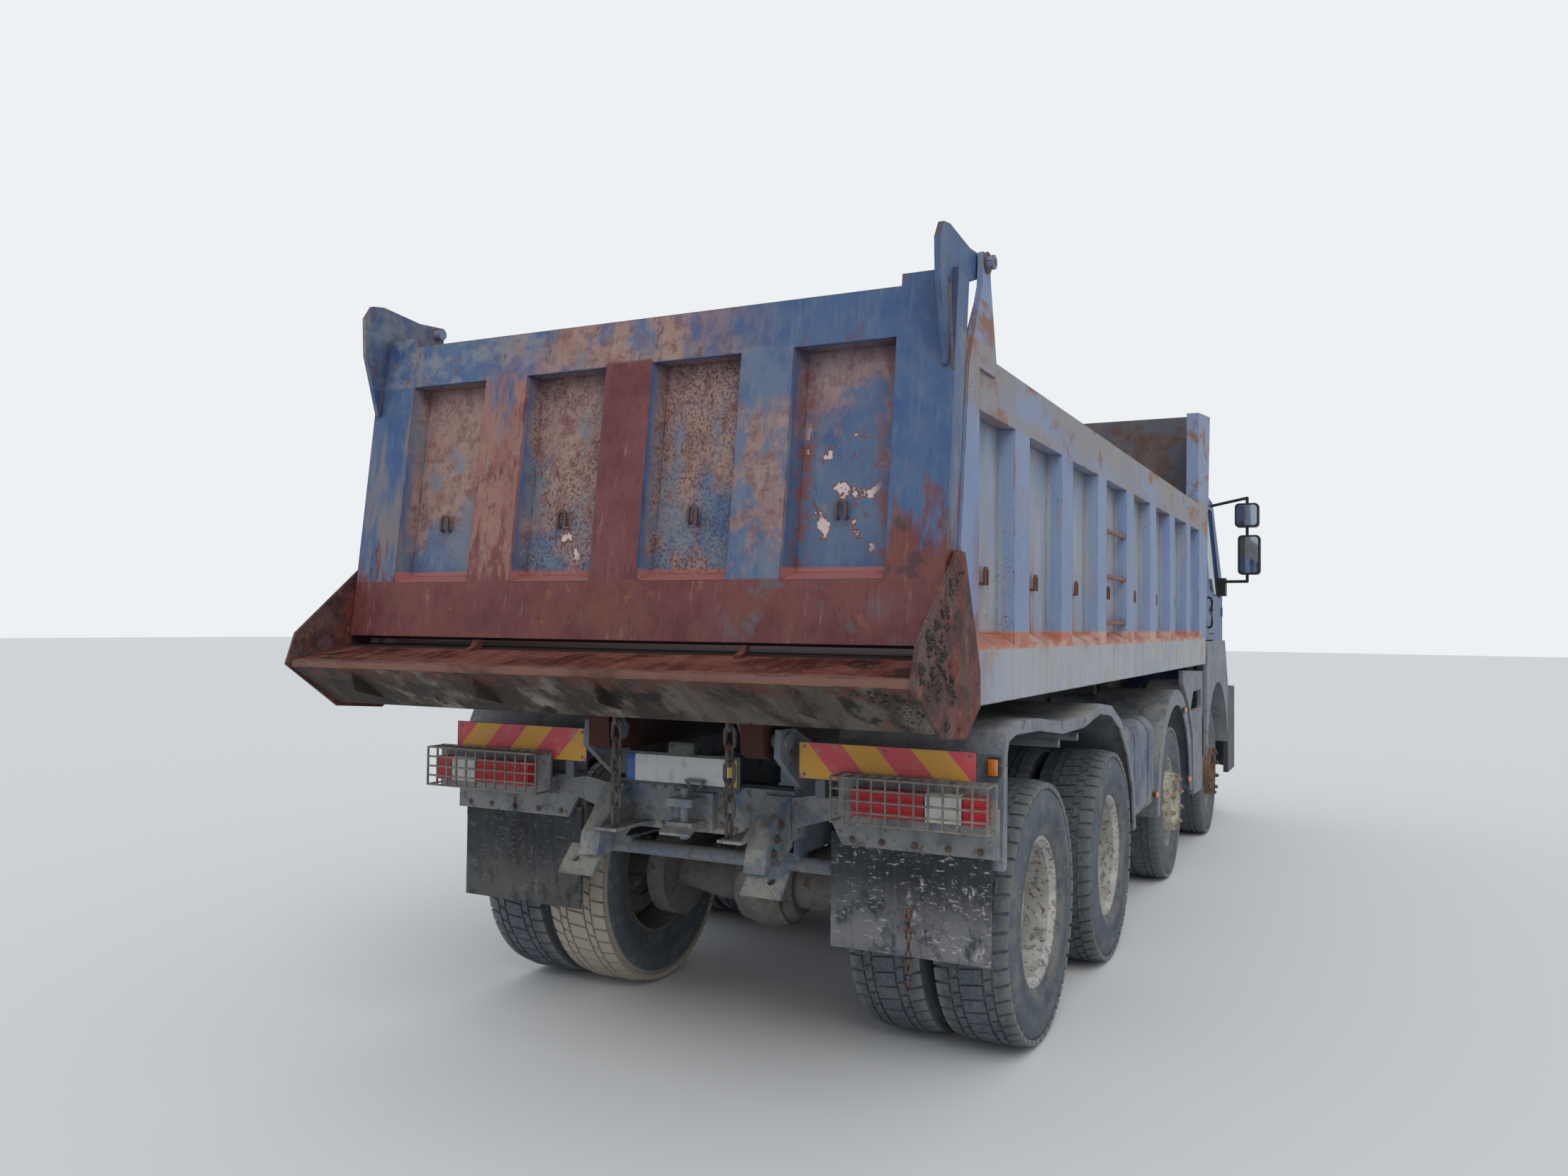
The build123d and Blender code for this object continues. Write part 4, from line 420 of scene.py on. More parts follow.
# Apron behind the tailgate
# A spill plate with a rolled lip, a sloping underside on gussets and two end wings. Its top is wet and
# maroon, its underside chalky grey with long stains, and lumps of old asphalt cling to the right wing.
apron_finish, shader, where = finish("rusted_spill_plate", roughness=0.6)
shader.inputs["Specular IOR Level"].default_value = 0.3
x, y, z = add(where, "ShaderNodeSeparateXYZ", {0: where}).outputs
up_part = upward(shader)
facing_up = between(up_part, 0.35, 1.5, 0.1)
across = add(y, "ShaderNodeMath", {0: y}, operation="ABSOLUTE").outputs[0]
wing_inner_y = 1.258
on_wing = between(across, wing_inner_y, 1.4, 0.003)
facing_down = times(either(between(up_part, -1.5, -0.15, 0.1), between(z, 1.2, 1.498, 0.003)),
                    between(across, -1, wing_inner_y, 0.003))
face_streaks = blotches(where, 0.05, 0.42, 0.66, long=4, tall=4, seed=4, ragged=0.66)
wide_stains = blotches(where, 0.24, 0.42, 0.56, long=1.6, tall=1.6, seed=8, ragged=0.62)
black_stains = blotches(where, 0.16, 0.56, 0.64, long=1.5, tall=1.5, seed=38, ragged=0.62)
pools = blotches(where, 0.28, 0.42, 0.58, long=0.6, seed=2)
crumbs = blotches(where, 0.02, 0.62, 0.68, seed=23, detail=6)
lip = between(x, -4.4, -4.30, 0.006)
underside = coats("#8b8376", [
    (face_streaks, "#655c52", 0.7), (wide_stains, "#3a322d"), (black_stains, "#211c1a"),
    (times(between(y, -1.3, -0.2, 0.3), 0.6), "#2c2826"),
    (blotches(where, 0.07, 0.6, 0.68, seed=19), "#684634"),
    (times(between(y, 0.1, 1.3, 0.5), blotches(where, 0.18, 0.42, 0.6, seed=29)), "#38302c"),
    (times(between(z, 1.47, 1.52, 0.012), blotches(where, 0.1, 0.4, 0.6, seed=20)), "#5d3a31")])
top_plate = coats("#6f3b32", [
    (pools, "#4d2823"), (face_streaks, "#875848", 0.6), (crumbs, "#7b6155"),
    (times(between(across, 0.9, 1.3, 0.15), blotches(where, 0.1, 0.5, 0.6, seed=52)), "#2f2322")])
wing_coat = coats("#66524f", [
    (times(between(x, -4.12, -3.7, 0.08), blotches(where, 0.10, 0.36, 0.6, tall=2, seed=21)), "#75392f"),
    (blotches(where, 0.12, 0.42, 0.6, seed=22, ragged=0.66), "#4b3532"),
    (blotches(where, 0.06, 0.56, 0.66, seed=32), "#7d5244"), (crumbs, "#23201f")])
# Painted shade: the top plate is near black in a strip beneath the tailgate foot, from x -4.085 to -3.7.
painted(shader, "#683f37", [
    (wide_stains, "#4d302a"), (facing_down, underside), (facing_up, top_plate),
    (times(lip, between(up_part, -0.15, 1.5, 0.1), blotches(where, 0.2, 0.3, 0.55, wide=2, seed=42)),
     "#7d5b50"), (times(facing_up, between(x, -4.085, -3.7, 0.012)), "#2b1c19"), (on_wing, wing_coat),
    (times(worn_edges(shader, 0.01), blotches(where, 0.1, 0.4, 0.6)), "#4a2a25")])
wet = add(where, "ShaderNodeMapRange", {
    "Value": times(facing_up, pools, between(across, -1, 1.25, 0.01), between(x, -4.6, -4.1, 0.01)),
    "To Min": 0.75, "To Max": 0.24})
shader.id_data.links.new(wet.outputs[0], shader.inputs["Roughness"])
relief(shader, blotches(where, 0.03, 0.4, 0.7, seed=5), 0.002)
wear(["rear_apron"], apron_finish)

# Wheels
# Single tyres on the steered axles and twins on the driven ones, each on a pressed steel rim. The casings are
# dusty and worn; the rims are cream enamel under dust, bolted to a hub whose nuts have rusted.
sides = (("left", 1), ("right", -1))
axle_x = {1: 2.905, 2: 0.910, 3: -1.330, 4: -2.700}
front_radius = 0.515
rear_radius = 0.532
single_y = 1.026
outer_twin_y = 1.083
inner_twin_y = 0.733
twin_hub_y = 0.908
tyre_width = 0.312
rim_radius = 0.298
groove_depth = 0.012
nuts_round = 10
nut_radius = 0.0165


def circle(count, radius):
    """Points all round a circle."""
    return [(radius * math.cos(2 * math.pi * i / count), radius * math.sin(2 * math.pi * i / count))
            for i in range(count)]


def skin(mesh, rings, closed=False):
    """Faces from each ring of points to the next, with a cap on both ends unless the rings close."""
    rings = [[mesh.verts.new(point) for point in ring] for ring in rings]
    for index in range(len(rings) if closed else len(rings) - 1):
        here, there = rings[index], rings[(index + 1) % len(rings)]
        for i in range(len(here)):
            j = (i + 1) % len(here)
            mesh.faces.new((here[i], here[j], there[j], there[i]))
    if not closed:
        mesh.faces.new(rings[0][::-1])
        mesh.faces.new(rings[-1])


def piece(name, mesh, materials=()):
    """An object in the scene from a built mesh."""
    data = bpy.data.meshes.new(name)
    mesh.to_mesh(data)
    mesh.free()
    for material in materials:
        data.materials.append(material)
    made = bpy.data.objects.new(name, data)
    bpy.context.scene.collection.objects.link(made)
    return made


def from_mesh(name, mesh, material):
    """A piece from a closed mesh, its faces turned outwards."""
    bmesh.ops.recalc_face_normals(mesh, faces=mesh.faces)
    return piece(name, mesh, [material])


def settle(made):
    """Turns the result of all modifiers into a plain mesh."""
    ready = made.evaluated_get(bpy.context.evaluated_depsgraph_get())
    data = bpy.data.meshes.new_from_object(ready)
    made.modifiers.clear()
    made.data = data
    return made


def softened(made, width=0, segments=2, angle=35):
    """Rounded edges and smooth faces, applied to the mesh."""
    if width:
        bevel = made.modifiers.new("edges", "BEVEL")
        bevel.width = width
        bevel.segments = segments
        bevel.limit_method = "ANGLE"
        bevel.angle_limit = math.radians(angle)
    settle(made)
    made.data.shade_smooth()
    made.data.set_sharp_from_angle(angle=math.radians(angle))
    return made


def shifted(made, move):
    """The same piece, moved."""
    made.data.transform(Matrix.Translation(move))
    return made


def turned(name, outline, y_at, material, steps=96):
    """A smooth ring about the axle line, from an outline of (y, radius) pairs."""
    mesh = bmesh.new()
    skin(mesh, [[(r * s, w, r * c) for w, r in outline] for c, s in circle(steps, 1)], closed=True)
    return shifted(softened(from_mesh(name, mesh, material)), (0, y_at, 0))


def merged(name, parts):
    """Several meshes as one piece."""
    mesh = bmesh.new()
    materials = []
    for part in parts:
        first_face = len(mesh.faces)
        mesh.from_mesh(part.data)
        mesh.faces.ensure_lookup_table()
        slots = []
        for material in part.data.materials:
            if material not in materials:
                materials.append(material)
            slots.append(materials.index(material))
        for face in mesh.faces[first_face:]:
            face.material_index = slots[min(face.material_index, len(slots) - 1)]
    made = piece(name, mesh, materials)
    for part in parts:
        bpy.data.objects.remove(part)
    return made


def geometry_tree(name, inputs):
    """A new tree for a piece's own mesh, with those inputs besides, and what its inputs give."""
    group = bpy.data.node_groups.new(name, "GeometryNodeTree")
    group.interface.new_socket("Geometry", in_out="INPUT", socket_type="NodeSocketGeometry")
    for label, value in inputs.items():
        kind = "NodeSocketInt" if isinstance(value, int) else "NodeSocketFloat"
        group.interface.new_socket(label, in_out="INPUT", socket_type=kind).default_value = value
    group.interface.new_socket("Geometry", in_out="OUTPUT", socket_type="NodeSocketGeometry")
    return group, add(group, "NodeGroupInput").outputs


def real_copies(group, placed, material):
    """Ends a tree with its copies as real faces in that material."""
    real = add(group, "GeometryNodeRealizeInstances", {0: placed.outputs[0]})
    dressed = add(group, "GeometryNodeSetMaterial", {"Geometry": real.outputs[0], "Material": material})
    add(group, "NodeGroupOutput", {0: dressed.outputs[0]})
    return group


def tree_around(count, material):
    """Copies of the piece all round its own axle line, which runs along Y through the origin."""
    group, given = geometry_tree("copies_around", {"Count": count})
    points = add(group, "GeometryNodePoints", {"Count": given["Count"]})
    share = add(group, "ShaderNodeMath", {0: 2 * math.pi, 1: given["Count"]}, operation="DIVIDE")
    index = add(group, "GeometryNodeInputIndex")
    turn = add(group, "ShaderNodeMath", {0: index.outputs[0], 1: share.outputs[0]}, operation="MULTIPLY")
    rotation = add(group, "ShaderNodeCombineXYZ", {1: turn.outputs[0]})
    placed = add(group, "GeometryNodeInstanceOnPoints", {
        "Points": points.outputs[0], "Instance": given["Geometry"], "Rotation": rotation.outputs[0]})
    return real_copies(group, placed, material)


def repeated(made, group):
    """Runs a tree on a piece and keeps its result as a plain mesh."""
    made.modifiers.new("copies", "NODES").node_group = group
    return settle(made)


def distance(a, a_at, b, b_at):
    """How far two coordinates are from a point."""
    parts = [add(a, "ShaderNodeMath", {0: value, 1: at}, operation="SUBTRACT").outputs[0]
             for value, at in ((a, a_at), (b, b_at))]
    flat = add(a, "ShaderNodeCombineXYZ", {0: parts[0], 1: parts[1]}).outputs[0]
    return add(a, "ShaderNodeVectorMath", {0: flat}, operation="LENGTH").outputs["Value"]


def tyre_finish(name, middle_x, radius, caked):
    """Worn black rubber under grey dust: pale grooves, a ringed sidewall, and mud caked on an inner twin."""
    made, shader, where = finish(name, roughness=0.88)
    x, y, z = add(where, "ShaderNodeSeparateXYZ", {0: where}).outputs
    reach = distance(x, middle_x, z, radius)
    dust = blotches(where, 0.14, 0.32, 0.66, seed=middle_x, ragged=0.65)
    fine = blotches(where, 0.015, 0.42, 0.66, seed=4, ragged=0.7)
    mud = blotches(where, 0.09, 0.52, 0.62, seed=14 + middle_x, ragged=0.68)
    scratches = blotches(where, 0.006, 0.60, 0.68, seed=5, long=6, tall=6)
    grooves = between(reach, radius - 0.034, radius - 0.008, 0.003)
    crown = between(reach, radius - 0.009, radius + 0.02, 0.002)
    shoulder = between(reach, radius - 0.125, radius - 0.035, 0.02)
    bead = between(reach, 0.29, 0.345, 0.015)
    ring = add(where, "ShaderNodeMath", {0: reach, 1: 420.0}, operation="MULTIPLY")
    wave = add(where, "ShaderNodeMath", {0: ring.outputs[0]}, operation="SINE").outputs[0]
    across = add(y, "ShaderNodeMath", {0: y}, operation="ABSOLUTE").outputs[0]
    inner = times(between(across, 0.5, 0.872, 0.006), between(reach, radius - 0.05, radius + 0.02, 0.006),
                  caked)
    painted(shader, "#434b55", [
        (dust, "#5b636b", 0.8), (shoulder, "#626a72", 0.5), (times(shoulder, mud), "#777876", 0.7),
        (mud, "#70716f", 0.4), (times(bead, dust), "#76746e"), (grooves, "#7f7f7b", 0.75),
        (times(crown, fine), "#70757a", 0.75), (scratches, "#8f8f8c", 0.4),
        (times(inner, either(fine, 0.8)), "#bdb0a0")])
    height = add(where, "ShaderNodeMath",
                 {0: times(wave, between(reach, 0.33, radius - 0.06, 0.01)), 1: 0.35, 2: fine},
                 operation="MULTIPLY_ADD")
    relief(shader, height.outputs[0], 0.0009)
    return made


def cream_finish(name, base, dirt, rust, mud="#6f6a62"):
    """Cream enamel under dust, with mud in the corners and rust coming through at the edges."""
    made, shader, where = finish(name, roughness=0.65)
    dust = blotches(where, 0.10, 0.34, 0.62, seed=3, ragged=0.65)
    spots = blotches(where, 0.022, 0.58, 0.64, seed=9, detail=6)
    splash = blotches(where, 0.05, 0.56, 0.62, seed=19, ragged=0.7)
    painted(shader, base, [
        (dust, dirt), (times(splash, 0.85), mud), (times(dust, spots), rust), (spots, rust),
        (times(worn_edges(shader, 0.006), 0.7), rust)])
    relief(shader, splash, 0.0015)
    return made


cream_rim = cream_finish("dusty_cream_enamel", "#bfbdb8", "#a3a19c", "#75604f", "#817d75")
cream_hub = cream_finish("cream_hub_enamel", "#c9c4b4", "#a9a293", "#7c5c42")
rusty_hub = cream_finish("rusty_cast_hub", "#8a6a50", "#6e5440", "#54392a")
grey_hub = cream_finish("dusty_grey_casting", "#6a6a69", "#7f7b75", "#564a42")
nut_finish = cream_finish("rusty_wheel_nuts", "#6d4a34", "#7d5f47", "#4b3326")
cream_nuts = cream_finish("cream_wheel_nuts", "#b7ad9b", "#8f8474", "#7c5c42")


def casing_outline(radius):
    """Tyre cross-section from bead to bead over the crown, with a step where the tread starts."""
    side = radius - rim_radius
    groove = radius - groove_depth
    half = tyre_width / 2
    flank = [
        (0.042, rim_radius - 0.004), (0.022, rim_radius + 0.012), (0.006, rim_radius + 0.2 * side),
        (0, rim_radius + 0.42 * side), (0.003, rim_radius + 0.6 * side), (0.012, radius - 0.045),
        (0.020, radius - 0.036), (0.024, radius - 0.030), (0.040, groove - 0.004), (0.075, groove)]
    return ([(inset - half, r) for inset, r in flank] + [(half - inset, r) for inset, r in reversed(flank)]
            + [(half - 0.06, rim_radius - 0.012), (0.06 - half, rim_radius - 0.012)])


def tread_pitch(radius, pitches, driven, material):
    """Blocks of one pitch across the crown: two shoulder blocks and the ribs between them."""
    half = tyre_width / 2
    step = 2 * math.pi / pitches
    skew = step * 0.16
    foot_radius = radius - 0.034
    if driven:
        rows = [
            (-half + 0.010, -half + 0.066, 0.80, 0.0), (-half + 0.076, -0.052, 0.82, 0.5),
            (-0.042, 0.042, 0.86, 0.15), (0.052, half - 0.076, 0.82, 0.65),
            (half - 0.066, half - 0.010, 0.80, 0.3)]
    else:
        rows = [
            (-half + 0.010, -half + 0.070, 0.96, 0.0), (-half + 0.082, -0.046, 0.94, 0.5),
            (-0.034, 0.034, 0.94, 0.2), (0.046, half - 0.082, 0.94, 0.6),
            (half - 0.070, half - 0.010, 0.96, 0.3)]
    mesh = bmesh.new()
    for w0, w1, share, lag in rows:
        a0 = step * (lag + 0.5 * (1 - share))
        a1 = a0 + step * share
        foot, top = [], []
        for w, a in ((w0, a0), (w1, a0 + skew), (w1, a1 + skew), (w0, a1)):
            foot_w = w if abs(w) < half - 0.02 else w * 0.985
            top_radius = radius - 0.3 * max(0, abs(w) - half + 0.05)
            foot.append((foot_radius * math.sin(a), foot_w, foot_radius * math.cos(a)))
            top.append((top_radius * math.sin(a), w, top_radius * math.cos(a)))
        skin(mesh, [foot, top])
    return from_mesh("tread", mesh, material)


def nut_ring(ring_radius, face_w, material):
    """Six-sided nuts on their studs, all round a hub's face."""
    mesh = bmesh.new()
    for radius, low, high, corners_round in ((nut_radius, 0.0, 0.022, 6),
                                             (nut_radius * 0.55, 0.02, 0.031, 8)):
        skin(mesh, [[(s, w, ring_radius + c) for c, s in circle(corners_round, radius)] for w in (low, high)])
    made = from_mesh("nuts", mesh, material)
    return shifted(repeated(made, tree_around(nuts_round, material)), (0, face_w, 0))


def mirrored_in_y(made):
    """The same mesh on the other side of the truck, its faces turned back outwards."""
    made.data.transform(Matrix.Diagonal((1, -1, 1, 1)))
    made.data.flip_normals()


front_rim_outline = [
    (-0.118, 0.306), (-0.125, 0.312), (-0.125, 0.290), (-0.10, 0.278), (-0.02, 0.262), (0.055, 0.262),
    (0.078, 0.200), (0.084, 0.120), (0.098, 0.120), (0.096, 0.205), (0.075, 0.272), (0.095, 0.284),
    (0.125, 0.292), (0.125, 0.312), (0.118, 0.306), (0.095, 0.294), (0.06, 0.280), (-0.04, 0.276),
    (-0.10, 0.290)]
front_hub_outline = [
    (0.096, 0.001), (0.150, 0.001), (0.153, 0.060), (0.148, 0.098), (0.130, 0.106), (0.112, 0.110),
    (0.112, 0.153), (0.181, 0.156), (0.181, 0.192), (0.098, 0.198), (0.092, 0.120)]
twin_rim_outline = [
    (-0.118, 0.306), (-0.125, 0.312), (-0.125, 0.292), (-0.10, 0.280), (-0.05, 0.268), (0.10, 0.268),
    (0.125, 0.290), (0.125, 0.312), (0.118, 0.306), (0.095, 0.294), (0.09, 0.284), (-0.04, 0.282),
    (-0.09, 0.294)]
twin_disc_outline = [
    (-0.175, 0.286), (-0.150, 0.272), (-0.060, 0.262), (-0.010, 0.215), (-0.004, 0.150), (0.012, 0.150),
    (0.006, 0.222), (-0.046, 0.272), (-0.06, 0.278), (-0.15, 0.284)]
twin_hub_outline = [
    (-0.015, 0.001), (0.140, 0.001), (0.150, 0.070), (0.146, 0.092), (0.060, 0.104), (0.030, 0.122),
    (0.016, 0.188), (-0.004, 0.190), (-0.13, 0.150), (-0.14, 0.10)]

for axle, (label, side) in [(axle, each) for axle in axle_x for each in sides]:
    steered = axle < 3
    radius = front_radius if steered else rear_radius
    caked = 1.0 if (axle, label) == (4, "left") else 0.0
    rubber = tyre_finish(f"worn_rubber_{axle}_{label}", axle_x[axle], radius, caked)
    pitches = 60 if steered else 48
    parts = []
    for y_at in (single_y,) if steered else (outer_twin_y, inner_twin_y):
        blocks = repeated(tread_pitch(radius, pitches, not steered, rubber), tree_around(pitches, rubber))
        parts += [turned("casing", casing_outline(radius), y_at, rubber), shifted(blocks, (0, y_at, 0))]
    tyres = merged(f"tyre_{axle}_{label}", parts)
    if steered:
        hub_coat, nut_coat = (cream_hub, cream_nuts) if axle == 2 else (rusty_hub, nut_finish)
        parts = [turned("rim", front_rim_outline, single_y, cream_rim),
                 turned("hub", front_hub_outline, single_y, hub_coat, 64),
                 nut_ring(0.174, single_y + 0.181, nut_coat)]
    else:
        parts = [turned("rim", twin_rim_outline, outer_twin_y, cream_rim),
                 turned("inner_rim", twin_rim_outline, inner_twin_y, grey_hub),
                 turned("disc", twin_disc_outline, outer_twin_y, cream_rim),
                 turned("inner_disc", [(-w, r) for w, r in twin_disc_outline], inner_twin_y, grey_hub),
                 turned("hub", twin_hub_outline, twin_hub_y, cream_rim, 64),
                 nut_ring(0.1675, twin_hub_y + 0.018, nut_finish)]
    metal = merged(f"rim_and_hub_{axle}_{label}", parts)
    for made in (tyres, metal):
        if side < 0:
            mirrored_in_y(made)
        shifted(made, (axle_x[axle], 0, radius))
        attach(made, f"wheel_{axle}_{label}")
    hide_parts(f"wheel_{axle}_{label}")
    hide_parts(f"wheel_{axle}_{label}")

# Frame, axles and running gear
# Chassis steel in blue-grey paint, caked with road dirt. Castings and springs under it are brown with rust.


def chassis_finish(name, base, dirt, rust, rough=0.7, dusting="#8b877e", low=0.0):
    """Paint under grime and flakes of rust, with pale dust on what faces up and what lies near the road."""
    made, shader, where = finish(name, roughness=rough)
    grime = blotches(where, 0.16, 0.34, 0.62, seed=6, ragged=0.66)
    splash = blotches(where, 0.035, 0.52, 0.62, seed=26, ragged=0.7)
    rust_spots = blotches(where, 0.06, 0.57, 0.66, seed=13, ragged=0.66)
    dust_up = between(upward(shader), 0.5, 1.5, 0.3)
    z = add(where, "ShaderNodeSeparateXYZ", {0: where}).outputs[2]
    near_road = between(z, -1, low + 0.075, 0.075)
    painted(shader, base, [
        (grime, dirt), (times(splash, 0.6), dusting), (rust_spots, rust), (times(dust_up, grime), dusting),
        (times(near_road, grime), dusting), (times(worn_edges(shader, 0.006), splash), rust)])
    relief(shader, splash, 0.0015)
    return made


frame_finish = chassis_finish("dirty_chassis_paint", "#617084", "#7d8389", "#6b5a4e")
beam_finish = chassis_finish("blue_grey_beam_paint", "#5f7285", "#808890", "#715b49", low=0.86,
                             dusting="#a09c94")
casting_finish = chassis_finish("rusty_castings", "#6a6866", "#807c77", "#665245", 0.8)
wear(["frame_rails", "tipper_subframe", "underrun_bar"], frame_finish)
wear(["rear_beam", "tow_jaw"], beam_finish)
wear(["steer_axle_beams", "drive_axles", "front_springs", "bogie_springs", "propeller_shafts", "engine_block"]
     + [f"knuckle_{n}_{s}" for n in (1, 2) for s in ("left", "right")], casting_finish)
wear(["hoist_tube"] + [f"hoist_ram_{n}" for n in (1, 2, 3, 4)],
     chassis_finish("hoist_paint", "#3d434c", "#555a61", "#5b463a"))
wear(["safety_chains"], chassis_finish("rusty_chain_steel", "#4a4340", "#625a54", "#6b4632", 0.7, "#77706a"))

# Fuel tank, batteries and air tanks
# Pressed steel boxes in dark blue-grey paint, dusty on top and rusty along the bottom.
tank_finish = chassis_finish("dark_tank_paint", "#4c5b75", "#707a88", "#74604f", low=0.62, dusting="#969490")
wear(["fuel_tank", "battery_and_air_tanks"], tank_finish)

# Mudguards, step panels and cab arches
# Grey plastic guards, moulded and pressed, scuffed pale and dusty.
guard_finish = chassis_finish("grey_moulded_guard", "#6f757f", "#878b91", "#68645f", 0.75, "#a19f99")
wear(["tandem_mudguards", "mid_mudguards", "step_panels", "cab_wheel_arches"], guard_finish)

# Rear lamps, cages, boards and flaps
# Moulded combination lamps behind welded wire cages, on sheet brackets, with rubber flaps below.
red_lens, shader, where = finish("red_and_clear_lamp_lens", roughness=0.22)
x, y, z = add(where, "ShaderNodeSeparateXYZ", {0: where}).outputs
along = add(y, "ShaderNodeMath", {0: y}, operation="ABSOLUTE").outputs[0]
clear_part = between(along, 1.022, 1.158, 0.0015)
seams = either(between(along, 1.016, 1.023, 0.001), between(along, 1.157, 1.164, 0.001),
               between(along, 0.866, 0.870, 0.001))
bracket_part = between(x, -3.4975, -3.0, 0.0005)
ribbing = add(where, "ShaderNodeTexWave", {"Vector": where, "Scale": 38.0},
              bands_direction="Y").outputs["Fac"]
lens_dirt = blotches(where, 0.05, 0.46, 0.64, seed=2, ragged=0.66)
bracket_paint = coats("#666d75", [
    (blotches(where, 0.1, 0.36, 0.56, seed=3, ragged=0.6), "#858686"),
    (blotches(where, 0.03, 0.58, 0.66, seed=5), "#6b5546")])
clear_lens = coats("#e2e0dd", [(ribbing, "#c8c6c2", 0.4), (lens_dirt, "#b5b0aa", 0.5)])
painted(shader, "#c0121f", [
    (ribbing, "#e2323c", 0.35), (lens_dirt, "#96303a", 0.4), (clear_part, clear_lens), (seams, "#3a1a1c"),
    (bracket_part, bracket_paint)])
rough = add(where, "ShaderNodeMapRange", {"Value": bracket_part, "To Min": 0.22, "To Max": 0.7})
shader.id_data.links.new(rough.outputs[0], shader.inputs["Roughness"])
relief(shader, times(ribbing, between(x, -3.6, -3.4975, 0.0005)), 0.0012)
wear(["tail_lamps"], red_lens)
wear(["lamp_cages"], chassis_finish("galvanised_cage_wire", "#8a8478", "#736d65", "#6b4e3a", 0.5))
board_finish, shader, where = finish("red_and_amber_board_film", roughness=0.4)
x, y, z = add(where, "ShaderNodeSeparateXYZ", {0: where}).outputs
lean = add(y, "ShaderNodeMath", {0: y}, operation="ABSOLUTE").outputs[0]
slant = add(where, "ShaderNodeMath", {0: z, 1: 0.9, 2: lean}, operation="MULTIPLY_ADD").outputs[0]
slant = add(where, "ShaderNodeMath", {0: slant, 1: 0.197}, operation="ADD").outputs[0]
slant = add(where, "ShaderNodeMath", {0: slant, 1: 0.137}, operation="PINGPONG").outputs[0]
stripe = between(slant, 0.0685, 1, 0.002)
rim = either(between(z, 1.0, 1.113, 0.0005), between(z, 1.247, 1.4, 0.0005),
             between(lean, 0.4, 0.4945, 0.0005), between(lean, 1.1875, 1.3, 0.0005))
painted(shader, "#cf4b55", [
    (stripe, "#d69c33"), (blotches(where, 0.05, 0.52, 0.7, seed=3, ragged=0.6), "#b08c72", 0.5),
    (blotches(where, 0.012, 0.66, 0.70, seed=7), "#5d5148"), (rim, "#3a3c40"),
    (between(x, -3.4775, 0, 0.0005), "#5b6068")])
wear(["marker_boards"], board_finish)
flap_finish, shader, where = finish("scuffed_black_rubber", roughness=0.8)
x, y, z = add(where, "ShaderNodeSeparateXYZ", {0: where}).outputs
scuffs = either(blotches(where, 0.012, 0.575, 0.61, wide=3.4, seed=3, ragged=0.75),
                times(blotches(where, 0.03, 0.55, 0.63, tall=2.2, seed=33, ragged=0.78),
                      blotches(where, 0.10, 0.48, 0.56, tall=1.8, seed=43)))
scuff_zone = blotches(where, 0.14, 0.38, 0.52, seed=8)
hem_dust = times(between(z, 0.4, 0.66, 0.10),
                 blotches(where, 0.06, 0.34, 0.54, tall=1.6, seed=18, ragged=0.72))
runs = blotches(where, 0.02, 0.5, 0.7, tall=9, seed=28)
painted(shader, "#272a2f", [
    (blotches(where, 0.3, 0.36, 0.66, seed=1), "#3c4045"), (runs, "#55585c", 0.35),
    (times(hem_dust, between(y, -2, 0, 0.01), 0.75), "#85858a"),
    (times(hem_dust, between(y, 0, 2, 0.01), 0.4), "#77756f"),
    (times(scuffs, scuff_zone, between(y, -2, 0, 0.01)), "#b3b1ab"),
    (times(scuffs, scuff_zone, between(y, 0, 2, 0.01), 0.4), "#8d8a82")])
wear(["mudflaps"], flap_finish)

# Bolts, pins and small fittings
# Hexagon heads and washers of rusty steel, small chains on the flaps, and a hanging bar on the right column.
rusty_bolt = chassis_finish("rusty_bolt_steel", "#5b4a42", "#75675d", "#6e4530", 0.7, "#7d736b")
dull_bolt = chassis_finish("dull_bolt_steel", "#6a6d70", "#84847f", "#5f4a3e", 0.6)


def bolts(name, places, out, radius, material, body="chassis", tall=0.8):
    """Hexagon heads on washers at each place, standing out along one direction."""
    turn = Vector(out).to_track_quat("Z", "Y").to_matrix()
    mesh = bmesh.new()
    for place in places:
        for reach, low, high, count in ((1.5, 0.0, 0.25, 20), (1.0, 0.25, 0.25 + tall, 6),
                                        (0.5, 0.25 + tall, 0.45 + tall, 12)):
            steps = circle(count, radius * reach)
            skin(mesh, [[Vector(place) + turn @ Vector((c, s, radius * level)) for c, s in steps]
                        for level in (low, high)])
    made = from_mesh(name, mesh, material)
    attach(made, body)


def tube(name, points, radius, material, sides_round=8, closed=False):
    """A round bar along a path, with flat ends."""
    rings = []
    for index, point in enumerate(points):
        before = points[index - 1] if index or closed else point
        after = points[(index + 1) % len(points)] if index < len(points) - 1 or closed else point
        turn = (Vector(after) - Vector(before)).normalized().to_track_quat("Z", "Y").to_matrix()
        rings.append([Vector(point) + turn @ Vector((c, s, 0)) for c, s in circle(sides_round, radius)])
    mesh = bmesh.new()
    skin(mesh, rings, closed)
    return softened(from_mesh(name, mesh, material))


def hanging_chain(name, top, links, length, width, wire, material):
    """Links hanging straight down, each a quarter turn from the last."""
    pieces = []
    for index in range(links):
        path = []
        for c, s in circle(14, 1):
            side = (width / 2 - wire) * s
            rise = (width / 2 - wire) * c + math.copysign(length / 2 - width / 2, c)
            lean = 0.15 * side
            place = (side, lean, rise) if index % 2 else (lean, side, rise)
            path.append((top[0] + place[0], top[1] + place[1],
                         top[2] - length / 2 - index * (length - 2 * wire) + place[2]))
        pieces.append(tube(name, path, wire, material, 6, closed=True))
    return merged(name, pieces)


